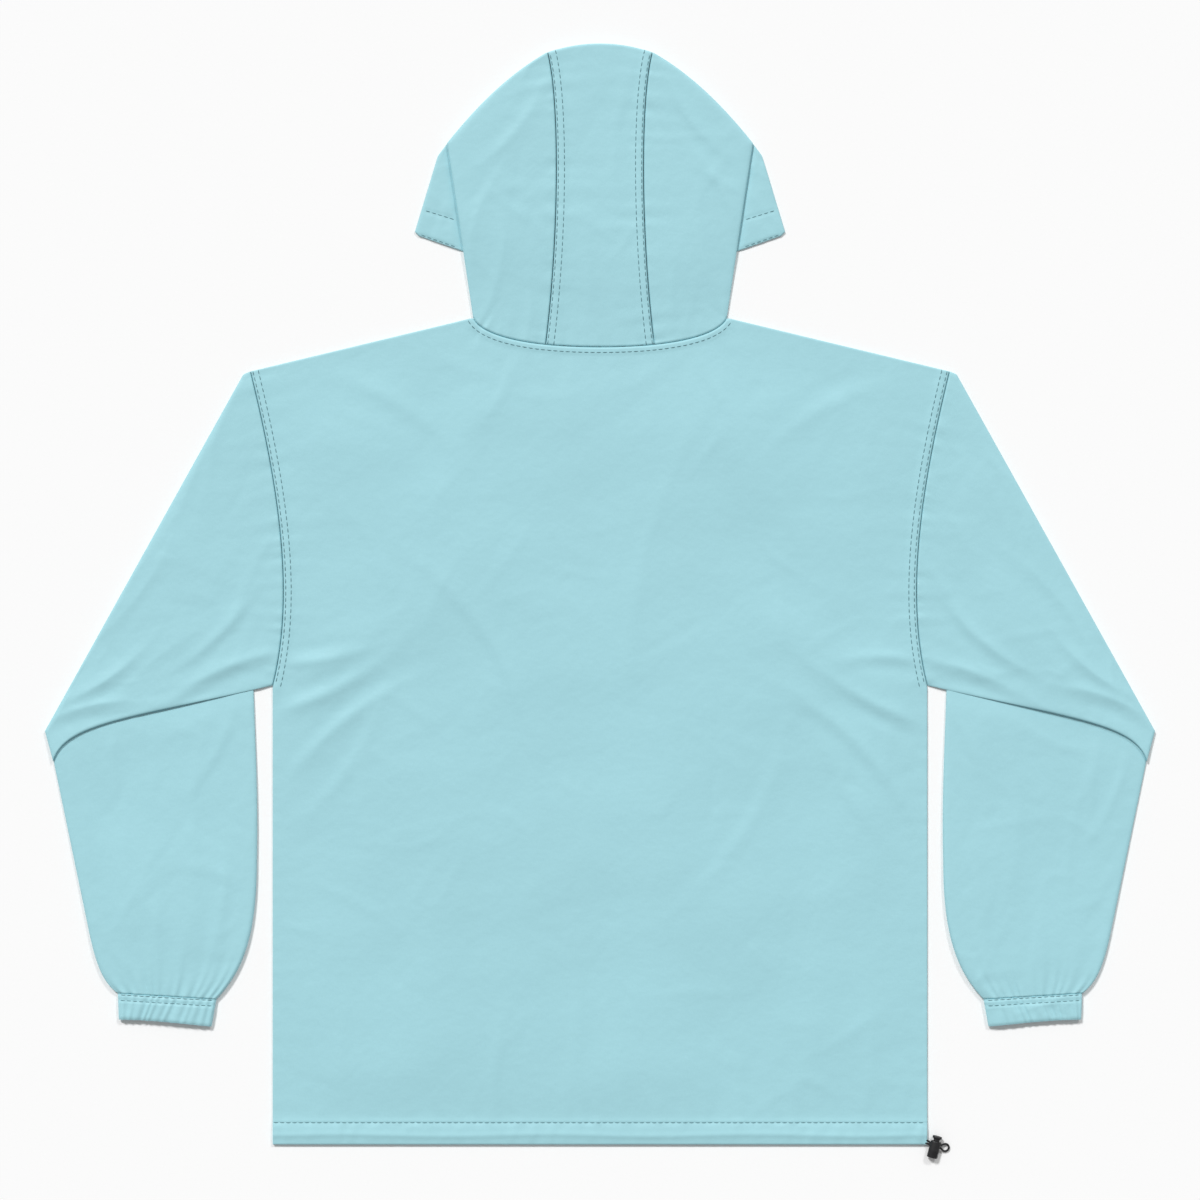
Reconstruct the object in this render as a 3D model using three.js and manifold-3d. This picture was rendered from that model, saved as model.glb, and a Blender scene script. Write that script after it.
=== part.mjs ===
// A hooded pullover anorak that lies flat with its back up, in millimetres.
// +X points to the wearer's right, +Y from the hem to the hood, +Z up from the surface it lies on.
// The origin is on that surface, below the middle of the garment's outline.
import * as THREE from 'three';
import { mergeVertices } from 'three/addons/utils/BufferGeometryUtils.js';
import Module from 'manifold-3d';

const wasm = await Module();
wasm.setup();

// Cloth and seams
const clothWall = 1.2;
const seamGap = 0.3;
const foldWall = 2.0;
const foldRadius = 4;
const roundSteps = [0, 0.22 * foldRadius, foldRadius];
const hemDepth = 20;
const hemWall = 2.0;
const hemStep = 1.5;
const openingOverrun = 1.5;

// Stations nearer than this to a round are left out, and as many spare ones stand close to its end
const leastStep = 0.5;
const spareShare = 0.02;

// Body: half widths and heights from the middle of the outline
const hemY = -506;
const halfChest = 300.8;
const armpitY = -84;
const shoulderTip = [321.3, 204.7];
const neckSide = [116.8, 253.9];
const backNeckY = 227.1;
const frontNeckY = 167;

// Seam curves, each with its two handles: armhole from shoulder to armpit, necks from the middle outwards
const armhole = bezier(shoulderTip, [293, 90], [281, -5], [halfChest, armpitY]);
const backNeck = bezier([0, backNeckY], [62, backNeckY], [108, 236], neckSide);
const frontNeck = bezier([0, frontNeckY], [60, frontNeckY], [110, 205], neckSide);

// Sleeve: the shoulder corner, the elbow tip and the tuck that runs from the armpit to the elbow
const sleeveCorner = [328, 202];
const elbowTip = [510.3, -126];
const tuckEnd = [502.3, -154];
const tuck = bezier([halfChest, armpitY], [430, -114], [492, -118], tuckEnd);
const forearmOuterTop = [490, -122];
const forearmInnerTop = [318.6, -66];
const forearmInnerStart = [318.6, -88.3];
const outerTurnStart = [470.1, -308.2];
const outerTurnHandles = [[463, -343], [456, -358]];
const outerBreaks = [0.13, 0.72];
const innerRunHandles = [[317, -140], [314, -190]];
const innerTurnStart = [315.5, -245];
const innerTurnHandles = [[315.5, -310], [326, -345]];
const innerBreaks = [0.08, 0.58];
const cuffTopOuter = [443.1, -367.1];
const cuffTopInner = [352.6, -372.6];
const cuffEndOuter = [442.1, -391];
const cuffEndInner = [357, -397.4];
const cuffEndHandles = [[424, -390.6], [398, -393]];

// Hood: centre panel between two seams, side panels, and the turned face edge that stands out as a wing
const crownY = 506;
const crownSeam = [48.3, 497.9];
const neckSeamShare = 0.294;
const crownSide = [140.5, 414.5];
const crownHandles = [[75, 483], [105, 459]];
const centreSeam = bezier(backNeck(neckSeamShare), [37, 330], [37, 458], crownSeam);
const wingTop = [149, 403];
const wingTip = [170.2, 333];
const wingTurn = [166.5, 329.4];
const wingInner = [127.5, 315.8];
const wingBreaks = [0.43, 0.95];
const wingSideBreak = 0.83;
const wingWall = 2.4;

// Parts of the hood that lie below it: where the wing begins, and the face opening's edge
const wingHiddenLow = [95, 304];
const wingHiddenHigh = [118, 425];
const faceEdgeY = 293;
const faceCorner = [106, 306];
const faceEdgeHandles = [[60, faceEdgeY], [95, 300]];
const faceSideHandles = [[110, 298], [84, 240]];
const faceFoot = [24, frontNeckY - 6];
const flapReach = 8;
const flapShoulder = 80;
const flapMiddleRise = 40;

// Layer heights above the surface
const frontTop = clothWall;
const backBottom = frontTop + seamGap;
const backTop = backBottom + clothWall;
const sleeveRise = 3.2;
const forearmStartTop = 3.0;
const forearmEndTop = 6.0;
const hoodRise = 3.3;
const backRise = 1.6;

// How the heights rise from a panel's borders, as shares of its size or in millimetres
const backMask = 0.1;
const upperMask = 0.2;
const forearmMask = 0.15;
const sleeveRiseShare = 0.35;
const shoulderRiseShare = 0.45;
const forearmRiseStart = 0.1;
const gatherStart = 0.75;
const hoodRiseReach = 90;
const hoodFallReach = 260;
const neckBow = 0.0022;
const crownRiseShare = 0.75;
const lipShare = 0.72;

// Cuff: an elastic casing with gathers
const cuffTop = 6.0;
const cuffWall = 1.8;
const gatherCount = 7;
const sleeveGathers = 3;
const gatherDepth = 0.7;

// Cord lock at the wearer's right hem corner: an oval barrel with a sprung plunger, on a loop of elastic cord
const lockHole = [308, -506.4];
const lockTurn = THREE.MathUtils.degToRad(-15);
const lockHeight = 3.9;
const barrelHalf = [5, 3.7];
const barrelEnds = [-12, 3.7];
const boreHalf = [3.15, 2.35];
const boreFloor = -10;
const stemHalf = [3.0, 2.2];
const stemFoot = -7.4;
const headHalf = [4.4, 3.3];
const headEnds = [6.2, 8.6];
const lockBevel = 0.6;
const cordDiameter = 1.8;
const cordSides = 8;
const slotHalfHeight = 1.3;
const barrelSlot = [-4.6, 2.25];
const stemSlot = [-2.25, 4.9];

// The loop of cord in the lock's own frame: along the hole, across it, and above the surface
const cordRoute = [
  { along: -6.85, across: -0.58, up: 2.85 },
  { along: -6.10, across: -0.66, up: 3.05 },
  { along: -5.30, across: -1.00, up: 3.30 },
  { along: -3.90, across: -1.06, up: 3.70 },
  { along: -1.80, across: -1.05, up: 3.88 },
  { along: 0.00, across: -1.05, up: 3.90 },
  { along: 2.20, across: -1.05, up: 3.90 },
  { along: 4.00, across: -1.08, up: 3.78 },
  { along: 5.80, across: -1.55, up: 3.15 },
  { along: 7.60, across: -2.65, up: 2.15 },
  { along: 9.50, across: -3.35, up: 1.40 },
  { along: 11.40, across: -2.90, up: 1.10 },
  { along: 12.70, across: -1.60, up: 1.10 },
  { along: 13.10, across: 0.00, up: 1.10 },
  { along: 12.70, across: 1.60, up: 1.10 },
  { along: 11.40, across: 2.90, up: 1.10 },
  { along: 9.50, across: 3.35, up: 1.40 },
  { along: 7.60, across: 2.65, up: 2.15 },
  { along: 5.80, across: 1.55, up: 3.15 },
  { along: 4.00, across: 1.08, up: 3.78 },
  { along: 2.20, across: 1.05, up: 3.90 },
  { along: 0.00, across: 1.05, up: 3.90 },
  { along: -1.80, across: 1.05, up: 3.88 },
  { along: -3.90, across: 1.06, up: 3.70 },
  { along: -5.30, across: 1.20, up: 3.30 },
  { along: -6.30, across: 1.72, up: 3.05 },
  { along: -7.25, across: 1.88, up: 2.85 },
];

// Soft folds that lie across the cloth: a row for each, angle in degrees from +X
const backFolds = [
  { x: -205, y: -40, angle: 28, length: 120, width: 26, height: 1.5 },
  { x: 215, y: -60, angle: 148, length: 105, width: 22, height: 1.3 },
  { x: -120, y: 150, angle: 62, length: 85, width: 20, height: 1.0 },
  { x: 130, y: 128, angle: 116, length: 95, width: 24, height: 1.1 },
  { x: -150, y: -300, angle: 84, length: 130, width: 30, height: 1.4 },
  { x: 60, y: -250, angle: 97, length: 165, width: 34, height: 1.5 },
  { x: 205, y: -350, angle: 78, length: 95, width: 24, height: 1.1 },
];
const sleeveFolds = [
  { x: 350, y: 20, angle: 124, length: 90, width: 18, height: 0.54 },
  { x: 400, y: -50, angle: 150, length: 75, width: 14, height: 0.48 },
  { x: 415, y: -215, angle: 96, length: 80, width: 16, height: 0.54 },
  { x: 372, y: -270, angle: 82, length: 60, width: 13, height: 0.48 },
];

// Colours of the finished pieces
const clothLook = { color: 0xa4d7e0, roughness: 0.62, metalness: 0 };
const cordLook = { color: 0x16181a, roughness: 0.8, metalness: 0 };
const lockLook = { color: 0x101214, roughness: 0.38, metalness: 0 };

function bezier(a, b, c, d) {
  return t => [0, 1].map(i => {
    const u = 1 - t;
    return a[i] * u ** 3 + 3 * b[i] * t * u ** 2 + 3 * c[i] * t ** 2 * u + d[i] * t ** 3;
  });
}

function line(a, b) {
  return t => [a[0] + (b[0] - a[0]) * t, a[1] + (b[1] - a[1]) * t];
}

// Joins curves end to end; breaks holds the share of the way at which each next curve begins
function chain(curves, breaks) {
  const starts = [0, ...breaks];
  const ends = [...breaks, 1];
  return t => {
    let index = breaks.filter(mark => t > mark).length;
    index = Math.min(index, curves.length - 1);
    return curves[index]((t - starts[index]) / (ends[index] - starts[index]));
  };
}

function mirrored(curve) {
  return t => [-curve(t)[0], curve(t)[1]];
}

function shifted(curve, dx, dy) {
  return t => [curve(t)[0] + dx, curve(t)[1] + dy];
}

// A curve parallel to another, at a distance to the left of its run
function beside(curve, distance) {
  const step = 1e-3;
  return t => {
    const [before, here, after] = [curve(t - step), curve(t), curve(t + step)];
    const run = Math.hypot(after[0] - before[0], after[1] - before[1]);
    return [
      here[0] - distance * (after[1] - before[1]) / run,
      here[1] + distance * (after[0] - before[0]) / run,
    ];
  };
}

function partOf(curve, start, end) {
  return t => curve(start + (end - start) * t);
}

// A surface patch stretched between four border curves
function coons(first, last, low, high) {
  return (s, k) => [0, 1].map(i => {
    const acrossBlend = (1 - k) * first(s)[i] + k * last(s)[i];
    const alongBlend = (1 - s) * low(k)[i] + s * high(k)[i];
    const corners = (1 - s) * (1 - k) * first(0)[i] + s * (1 - k) * first(1)[i]
      + (1 - s) * k * last(0)[i] + s * k * last(1)[i];
    return acrossBlend + alongBlend - corners;
  });
}

function smooth(value) {
  const t = Math.min(Math.max(value, 0), 1);
  return t * t * (3 - 2 * t);
}

function foldHeight(folds, x, y) {
  return folds.reduce((sum, fold) => {
    const turn = THREE.MathUtils.degToRad(fold.angle);
    const along = (x - fold.x) * Math.cos(turn) + (y - fold.y) * Math.sin(turn);
    const across = (y - fold.y) * Math.cos(turn) - (x - fold.x) * Math.sin(turn);
    return sum + fold.height * Math.exp(-((along / fold.length) ** 2) - (across / fold.width) ** 2);
  }, 0);
}

function evenly(count) {
  return Array.from({ length: count }, (_, index) => (index + 1) / (count + 1));
}

// Stations along one direction of a patch, as shares of its length. A folded border gets extra
// stations for its round, a hollow starts inside a fold and runs out past an open seam.
function stations(length, middles, startKind, endKind, hollow) {
  const borderOf = kind => {
    if (!hollow) return 0;
    return kind === 'fold' ? foldWall : -openingOverrun;
  };
  const roundOf = kind => (kind === 'fold' ? roundSteps : [0]);
  const start = borderOf(startKind);
  const end = length - borderOf(endKind);
  const firstInner = start + roundOf(startKind).at(-1);
  const lastInner = end - roundOf(endKind).at(-1);
  const inner = middles.map(share => share * length)
    .filter(distance => distance > firstInner + leastStep && distance < lastInner - leastStep);
  const missing = middles.length - inner.length;
  const padded = [];
  for (let index = 0; index < missing; index += 1) {
    padded.push(firstInner + (lastInner - firstInner) * (index + 1) / (missing + 1) * spareShare);
  }
  const distances = [
    ...roundOf(startKind).map(step => start + step),
    ...padded,
    ...inner,
    ...roundOf(endKind).map(step => end - step).reverse(),
  ];
  return distances.map(distance => distance / length);
}

function distanceBetween(a, b) {
  return Math.hypot(a[0] - b[0], a[1] - b[1]);
}

// A closed solid between two heights over a patch. On a folded border both heights meet in a
// rounded edge at the given share of the height; on a seam border a flat wall closes it.
function layerSolid(form, hollow = false) {
  const { patch, across, along, top, bottom, edgeShare = {} } = form;
  const wall = form.wall ?? clothWall;
  const columnLength = distanceBetween(patch(0.5, 0), patch(0.5, 1));
  const alongShares = stations(columnLength, along.middles, along.start, along.end, hollow);
  const inset = hollow ? foldWall : 0;
  const rows = alongShares.map(k => {
    const rowLength = distanceBetween(patch(0, k), patch(1, k));
    const shares = stations(rowLength, across.middles, across.start, across.end, hollow);
    return shares.map(s => {
      const [x, y] = patch(s, k);
      const sides = [
        [across.start, s * rowLength, edgeShare.acrossStart],
        [across.end, (1 - s) * rowLength, edgeShare.acrossEnd],
        [along.start, k * columnLength, edgeShare.alongStart],
        [along.end, (1 - k) * columnLength, edgeShare.alongEnd],
      ].filter(side => side[0] === 'fold');
      const high = top(x, y, s, k) - (hollow ? wall : 0);
      const low = bottom(x, y, s, k) + (hollow ? wall : 0);
      let nearest = foldRadius;
      let share = 0.5;
      sides.forEach(([, distance, sideShare]) => {
        if (distance - inset < nearest) {
          nearest = Math.max(distance - inset, 0);
          share = sideShare ?? 0.5;
        }
      });
      const open = Math.sqrt(Math.max(1 - (1 - nearest / foldRadius) ** 2, 0));
      const middle = low + (high - low) * share;
      return { x, y, high: middle + (high - middle) * open, low: middle - (middle - low) * open };
    });
  });
  return solidFromRows(rows);
}

// Closes rows of points with a top and a bottom height into one solid
function solidFromRows(rows) {
  const vertices = [];
  const known = new Map();
  const vertex = (x, y, z) => {
    const key = [x, y, z].map(value => Math.round(value * 1000)).join(',');
    if (!known.has(key)) {
      known.set(key, vertices.length / 3);
      vertices.push(x, y, z);
    }
    return known.get(key);
  };
  const upper = rows.map(row => row.map(point => vertex(point.x, point.y, point.high)));
  const lower = rows.map(row => row.map(point => vertex(point.x, point.y, point.low)));
  const triangles = [];
  const triangle = (a, b, c) => {
    if (a !== b && b !== c && c !== a) triangles.push(a, b, c);
  };
  const quad = (a, b, c, d) => {
    triangle(a, b, c);
    triangle(a, c, d);
  };
  const lastRow = rows.length - 1;
  const lastColumn = rows[0].length - 1;
  for (let row = 0; row < lastRow; row += 1) {
    for (let column = 0; column < lastColumn; column += 1) {
      quad(upper[row][column], upper[row][column + 1], upper[row + 1][column + 1], upper[row + 1][column]);
      quad(lower[row][column], lower[row + 1][column], lower[row + 1][column + 1], lower[row][column + 1]);
    }
    quad(lower[row][0], upper[row][0], upper[row + 1][0], lower[row + 1][0]);
    quad(upper[row][lastColumn], lower[row][lastColumn],
      lower[row + 1][lastColumn], upper[row + 1][lastColumn]);
  }
  for (let column = 0; column < lastColumn; column += 1) {
    quad(lower[0][column], lower[0][column + 1], upper[0][column + 1], upper[0][column]);
    quad(lower[lastRow][column + 1], lower[lastRow][column],
      upper[lastRow][column], upper[lastRow][column + 1]);
  }
  return solidFromTriangles(vertices, triangles);
}

// Makes a solid of a closed triangle mesh, turned right side out if need be
function solidFromTriangles(vertices, triangles) {
  const corner = index => new THREE.Vector3().fromArray(vertices, index * 3);
  let volume = 0;
  for (let index = 0; index < triangles.length; index += 3) {
    const [a, b, c] = [0, 1, 2].map(step => corner(triangles[index + step]));
    volume += a.dot(b.cross(c));
  }
  if (volume < 0) {
    for (let index = 0; index < triangles.length; index += 3) {
      [triangles[index], triangles[index + 1]] = [triangles[index + 1], triangles[index]];
    }
  }
  return new wasm.Manifold(new wasm.Mesh({
    numProp: 3,
    vertProperties: new Float32Array(vertices),
    triVerts: new Uint32Array(triangles),
  }));
}

function solidFromGeometry(geometry) {
  const bare = geometry.clone();
  bare.deleteAttribute('normal');
  bare.deleteAttribute('uv');
  const merged = mergeVertices(bare, 1e-4);
  return solidFromTriangles(Array.from(merged.attributes.position.array), Array.from(merged.index.array));
}

function geometryFromSolid(solid) {
  const mesh = solid.getMesh();
  const geometry = new THREE.BufferGeometry();
  geometry.setAttribute('position', new THREE.BufferAttribute(new Float32Array(mesh.vertProperties), 3));
  geometry.setIndex(Array.from(mesh.triVerts));
  geometry.computeVertexNormals();
  return geometry;
}

// A flat plate of cloth over a closed outline of points
function plate(outline, low, high) {
  const shape = new THREE.Shape(outline.map(([x, y]) => new THREE.Vector2(x, y)));
  const geometry = new THREE.ExtrudeGeometry(shape, { depth: high - low, bevelEnabled: false });
  geometry.translate(0, 0, low);
  return solidFromGeometry(geometry);
}

function sampled(curve, count) {
  return Array.from({ length: count + 1 }, (_, index) => curve(index / count));
}

// Stations that neighbours share along the armhole and the neck, so that their edges run parallel
const armholeShares = evenly(9);
const centrePanelShares = evenly(5);
const sidePanelShares = evenly(6);
const sidePanelWidth = distanceBetween(backNeck(neckSeamShare), neckSide);
const sideFoldShares = roundSteps.slice(1).reverse().map(step => 1 - step / sidePanelWidth);
const flapShares = evenly(7);

// The back panel's patch runs from the wearer's left to right, and from the hem to the shoulders
const neckShare = (shoulderTip[0] - neckSide[0]) / (2 * shoulderTip[0]);
const armpitShare = (armpitY - hemY) / (shoulderTip[1] - hemY);
const armholeRows = armholeShares.map(share => armpitShare + (1 - armpitShare) * share);

// Columns of the back panel at the given shares of the neck curve and at the shoulders
function bodyColumns(neckShares, shoulderShares) {
  const right = [
    ...neckShares.map(share => 0.5 + share * (0.5 - neckShare)),
    1 - neckShare,
    ...shoulderShares.map(share => 1 - neckShare * (1 - share)),
  ];
  return [...right.map(share => 1 - share).reverse(), 0.5, ...right];
}

function backPatch() {
  const half = seamGap / 2;
  const shoulder = line(neckSide, shoulderTip);
  const neckEdge = beside(backNeck, -half);
  const topEdge = chain(
    [t => mirrored(shoulder)(1 - t), t => mirrored(neckEdge)(1 - t), neckEdge, shoulder],
    [neckShare, 0.5, 1 - neckShare],
  );
  const sideEdge = chain(
    [line([halfChest, hemY], [halfChest, armpitY]), t => shifted(armhole, -half, 0)(1 - t)],
    [armpitShare],
  );
  const hemEdge = line([-halfChest, hemY], [halfChest, hemY]);
  return coons(hemEdge, topEdge, mirrored(sideEdge), sideEdge);
}

// The turned hem is thicker than one cloth: it steps down just above its stitched edge
const hemShares = [hemDepth, hemDepth + hemStep].map(depth => depth / (shoulderTip[1] - hemY));
const hemExtra = k => (hemWall - clothWall) * smooth((hemShares[1] - k) / (hemShares[1] - hemShares[0]));

// Falls to nothing at a panel's borders
function borderMask(s, k, reach) {
  return smooth(s / reach) * smooth((1 - s) / reach) * smooth(k / reach) * smooth((1 - k) / reach);
}

// The front lies flat on the surface, so it is a plate with a thicker band at its hem
function frontPanel() {
  const half = seamGap / 2;
  const neckEdge = sampled(beside(frontNeck, -half), flapShares.length + 1);
  const sideEdge = sampled(t => shifted(armhole, -half, 0)(1 - t), armholeShares.length + 1);
  const right = [...sideEdge, ...neckEdge.slice(1).reverse()];
  const left = right.map(([x, y]) => [-x, y]).reverse();
  const hemBand = bandTop => [
    [-halfChest, hemY], [halfChest, hemY], [halfChest, bandTop], [-halfChest, bandTop],
  ];
  const body = plate([
    [-halfChest, hemY], [halfChest, hemY], ...right, neckEdge[0], ...left,
  ], 0, frontTop);
  return body.add(plate(hemBand(hemY + hemDepth), 0, hemWall));
}

function backLift(x, y, s, k) {
  return hemExtra(k) + borderMask(s, k, backMask) * (backRise + foldHeight(backFolds, x, y));
}

function backPanel() {
  const neckColumns = [
    ...centrePanelShares.filter(share => share > 0.51).map(share => (2 * share - 1) * neckSeamShare),
    neckSeamShare,
    ...[...sidePanelShares, ...sideFoldShares].map(share => neckSeamShare + (1 - neckSeamShare) * share),
  ];
  return layerSolid({
    patch: backPatch(),
    across: {
      start: 'seam',
      end: 'seam',
      middles: bodyColumns(neckColumns, [0.18, 0.4, 0.62, 0.84]),
    },
    along: {
      start: 'seam',
      end: 'seam',
      middles: [...hemShares, 0.07, 0.13, 0.19, 0.25, 0.31, 0.37, 0.43, 0.49, 0.545,
        armpitShare, ...armholeRows],
    },
    top: (x, y, s, k) => backTop + backLift(x, y, s, k) + hemExtra(k),
    bottom: (x, y, s, k) => backBottom + backLift(x, y, s, k),
  });
}

// Depth of the troughs between gathers, at a share of the way across
function gathers(share, count) {
  return gatherDepth * (0.5 - 0.5 * Math.cos(2 * Math.PI * count * share));
}

// The same form with fewer stations, for the plain hollow inside it
function coarser(form, acrossCount, alongCount) {
  return {
    ...form,
    across: { ...form.across, middles: evenly(acrossCount) },
    along: { ...form.along, middles: evenly(alongCount) },
  };
}

// The sleeve's upper part ends in the tuck and overlies the forearm, whose top lies inside it
function sleeve() {
  const half = seamGap / 2;
  const cornerShare = 0.02;
  const upperPatch = coons(
    shifted(armhole, half, 0),
    line(elbowTip, tuckEnd),
    chain(
      [line([shoulderTip[0] + half, shoulderTip[1]], sleeveCorner), line(sleeveCorner, elbowTip)],
      [cornerShare],
    ),
    shifted(tuck, half, 0),
  );
  const upper = {
    patch: upperPatch,
    across: { start: 'fold', end: 'fold', middles: armholeShares },
    along: { start: 'seam', end: 'fold', middles: [cornerShare, 0.07, 0.14, 0.21, 0.28, 0.36, 0.44,
      0.52, 0.6, 0.68, 0.76, 0.84, 0.92] },
    edgeShare: { acrossEnd: lipShare },
    top: (x, y, s, k) => backTop
      + sleeveRise * smooth(k / sleeveRiseShare) * (shoulderRiseShare + (1 - shoulderRiseShare) * s)
      + foldHeight(sleeveFolds, x, y) * borderMask(s, k, upperMask),
    bottom: () => 0,
  };
  const outerEnd = [cuffTopOuter[0], cuffTopOuter[1] + half];
  const innerEnd = [cuffTopInner[0], cuffTopInner[1] + half];
  const forearm = {
    patch: coons(
      line(forearmOuterTop, forearmInnerTop),
      line(outerEnd, innerEnd),
      chain(
        [line(forearmOuterTop, tuckEnd), line(tuckEnd, outerTurnStart),
          bezier(outerTurnStart, ...outerTurnHandles, outerEnd)],
        outerBreaks,
      ),
      chain(
        [line(forearmInnerTop, forearmInnerStart),
          bezier(forearmInnerStart, ...innerRunHandles, innerTurnStart),
          bezier(innerTurnStart, ...innerTurnHandles, innerEnd)],
        innerBreaks,
      ),
    ),
    across: { start: 'fold', end: 'fold', middles: evenly(4 * sleeveGathers - 1) },
    along: { start: 'seam', end: 'seam', middles: [0.08, 0.13, 0.22, 0.32, 0.42, 0.5, 0.58, 0.66,
      0.72, 0.79, 0.86, 0.93] },
    top: (x, y, s, k) => forearmStartTop
      + (forearmEndTop - forearmStartTop) * smooth((k - forearmRiseStart) / (1 - forearmRiseStart))
      + foldHeight(sleeveFolds, x, y) * borderMask(s, k, forearmMask)
      - smooth((k - gatherStart) / (1 - gatherStart)) * gathers(s, sleeveGathers),
    bottom: () => 0,
  };
  return layerSolid(upper).add(layerSolid(forearm))
    .subtract(layerSolid(coarser(upper, 4, 6), true)).subtract(layerSolid(coarser(forearm, 4, 8), true));
}

// The cuff's two walls of casing, with gathers on its upper side
function cuff() {
  const half = seamGap / 2;
  const patch = coons(
    line([cuffTopOuter[0], cuffTopOuter[1] - half], [cuffTopInner[0], cuffTopInner[1] - half]),
    bezier(cuffEndOuter, ...cuffEndHandles, cuffEndInner),
    line([cuffTopOuter[0], cuffTopOuter[1] - half], cuffEndOuter),
    line([cuffTopInner[0], cuffTopInner[1] - half], cuffEndInner),
  );
  const casing = {
    patch,
    wall: cuffWall,
    across: { start: 'fold', end: 'fold', middles: evenly(4 * gatherCount - 1) },
    along: { start: 'seam', end: 'seam', middles: [0.3, 0.7] },
    top: (x, y, s) => cuffTop - gathers(s, gatherCount),
    bottom: () => 0,
  };
  const hollow = { ...coarser(casing, 3, 0), top: () => cuffTop - gatherDepth };
  return layerSolid(casing).subtract(layerSolid(hollow, true));
}

// Height of the hood's upper layer
function hoodTop(x, y) {
  const fromNeck = smooth((y - backNeckY - neckBow * x * x) / hoodRiseReach);
  const belowCrown = smooth((crownY - y) / hoodFallReach);
  return backTop + hoodRise * fromNeck * (crownRiseShare + (1 - crownRiseShare) * belowCrown);
}

// The face opening lies in the hood's lower layer, below its turned edge
function faceOpening() {
  const right = [
    ...sampled(bezier([0, faceEdgeY], ...faceEdgeHandles, faceCorner), 6),
    ...sampled(bezier(faceCorner, ...faceSideHandles, faceFoot), 8).slice(1),
  ];
  const left = right.slice(1).reverse().map(([x, y]) => [-x, y]);
  return plate([...right, ...left], -1, clothWall + 0.1);
}

function hoodCentre() {
  const half = seamGap / 2;
  const neckMiddle = t => {
    const side = beside(partOf(backNeck, 0, neckSeamShare), half)(Math.abs(2 * t - 1));
    return [side[0] * Math.sign(t - 0.5), side[1]];
  };
  const rightSeam = shifted(centreSeam, -half, 0);
  const crown = t => [crownSeam[0] * (2 * t - 1), crownY - (crownY - crownSeam[1]) * (2 * t - 1) ** 2];
  const form = {
    patch: coons(neckMiddle, crown, mirrored(rightSeam), rightSeam),
    across: { start: 'seam', end: 'seam', middles: centrePanelShares },
    along: { start: 'seam', end: 'fold', middles: evenly(11) },
    top: hoodTop,
    bottom: () => 0,
  };
  return layerSolid(form).subtract(layerSolid(coarser(form, 1, 6), true)).subtract(faceOpening());
}

function hoodSide() {
  const half = seamGap / 2;
  const neckStart = beside(partOf(backNeck, neckSeamShare, 1), half);
  const leftSeam = shifted(centreSeam, half, 0);
  const upper = {
    patch: coons(
      neckStart,
      bezier(crownSeam, ...crownHandles, crownSide),
      leftSeam,
      line(neckStart(1), crownSide),
    ),
    across: { start: 'seam', end: 'fold', middles: sidePanelShares },
    along: { start: 'seam', end: 'fold', middles: evenly(11) },
    edgeShare: { acrossEnd: lipShare },
    top: hoodTop,
    bottom: () => 0,
  };
  const wing = {
    patch: coons(
      chain(
        [line(wingHiddenLow, wingInner), line(wingInner, wingTurn), line(wingTurn, wingTip)],
        wingBreaks,
      ),
      line(wingHiddenHigh, crownSide),
      line(wingHiddenLow, wingHiddenHigh),
      chain([line(wingTip, wingTop), line(wingTop, crownSide)], [wingSideBreak]),
    ),
    across: { start: 'seam', end: 'fold', middles: [wingBreaks[0], 0.7] },
    along: { start: 'fold', end: 'seam', middles: [0.2, 0.4, 0.6, wingSideBreak] },
    top: () => wingWall,
    bottom: () => 0,
  };
  const flap = plate([
    ...sampled(beside(frontNeck, half), flapShares.length + 1),
    [neckSide[0], neckSide[1] + flapReach],
    [flapShoulder, neckSide[1] + flapReach],
    [0, frontNeckY + flapMiddleRise],
  ], 0, clothWall);
  return layerSolid(upper).add(layerSolid(wing)).add(flap)
    .subtract(layerSolid(coarser(upper, 2, 6), true)).subtract(faceOpening());
}

// Ellipse in the lock's section plane: half width along the hole and half height
function ovalShape(half) {
  const shape = new THREE.Shape();
  shape.absellipse(0, 0, half[0], half[1], 0, 2 * Math.PI);
  return shape;
}

// An oval bar along the lock's axis, from start to end, with its rims bevelled
function ovalBar(half, start, end, bevel) {
  const geometry = new THREE.ExtrudeGeometry(ovalShape([half[0] - bevel, half[1] - bevel]), {
    depth: end - start - 2 * bevel,
    curveSegments: 10,
    bevelEnabled: bevel > 0,
    bevelThickness: bevel,
    bevelSize: bevel,
    bevelSegments: 2,
  });
  geometry.translate(0, 0, start + bevel);
  // The bar's length is turned from Z to Y
  geometry.rotateX(-Math.PI / 2);
  return solidFromGeometry(geometry);
}

function slotBlock(across) {
  const reach = 2 * barrelHalf[0] + 4;
  const geometry = new THREE.BoxGeometry(reach, across[1] - across[0], 2 * slotHalfHeight);
  geometry.translate(0, (across[0] + across[1]) / 2, 0);
  return solidFromGeometry(geometry);
}

function lockBarrel() {
  return ovalBar(barrelHalf, barrelEnds[0], barrelEnds[1], lockBevel)
    .subtract(ovalBar(boreHalf, boreFloor, barrelEnds[1] + 1, 0))
    .subtract(slotBlock(barrelSlot));
}

function lockPlunger() {
  return ovalBar(stemHalf, stemFoot, headEnds[0] + 1, 0)
    .subtract(slotBlock(stemSlot))
    .add(ovalBar(headHalf, headEnds[0], headEnds[1], lockBevel));
}

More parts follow.
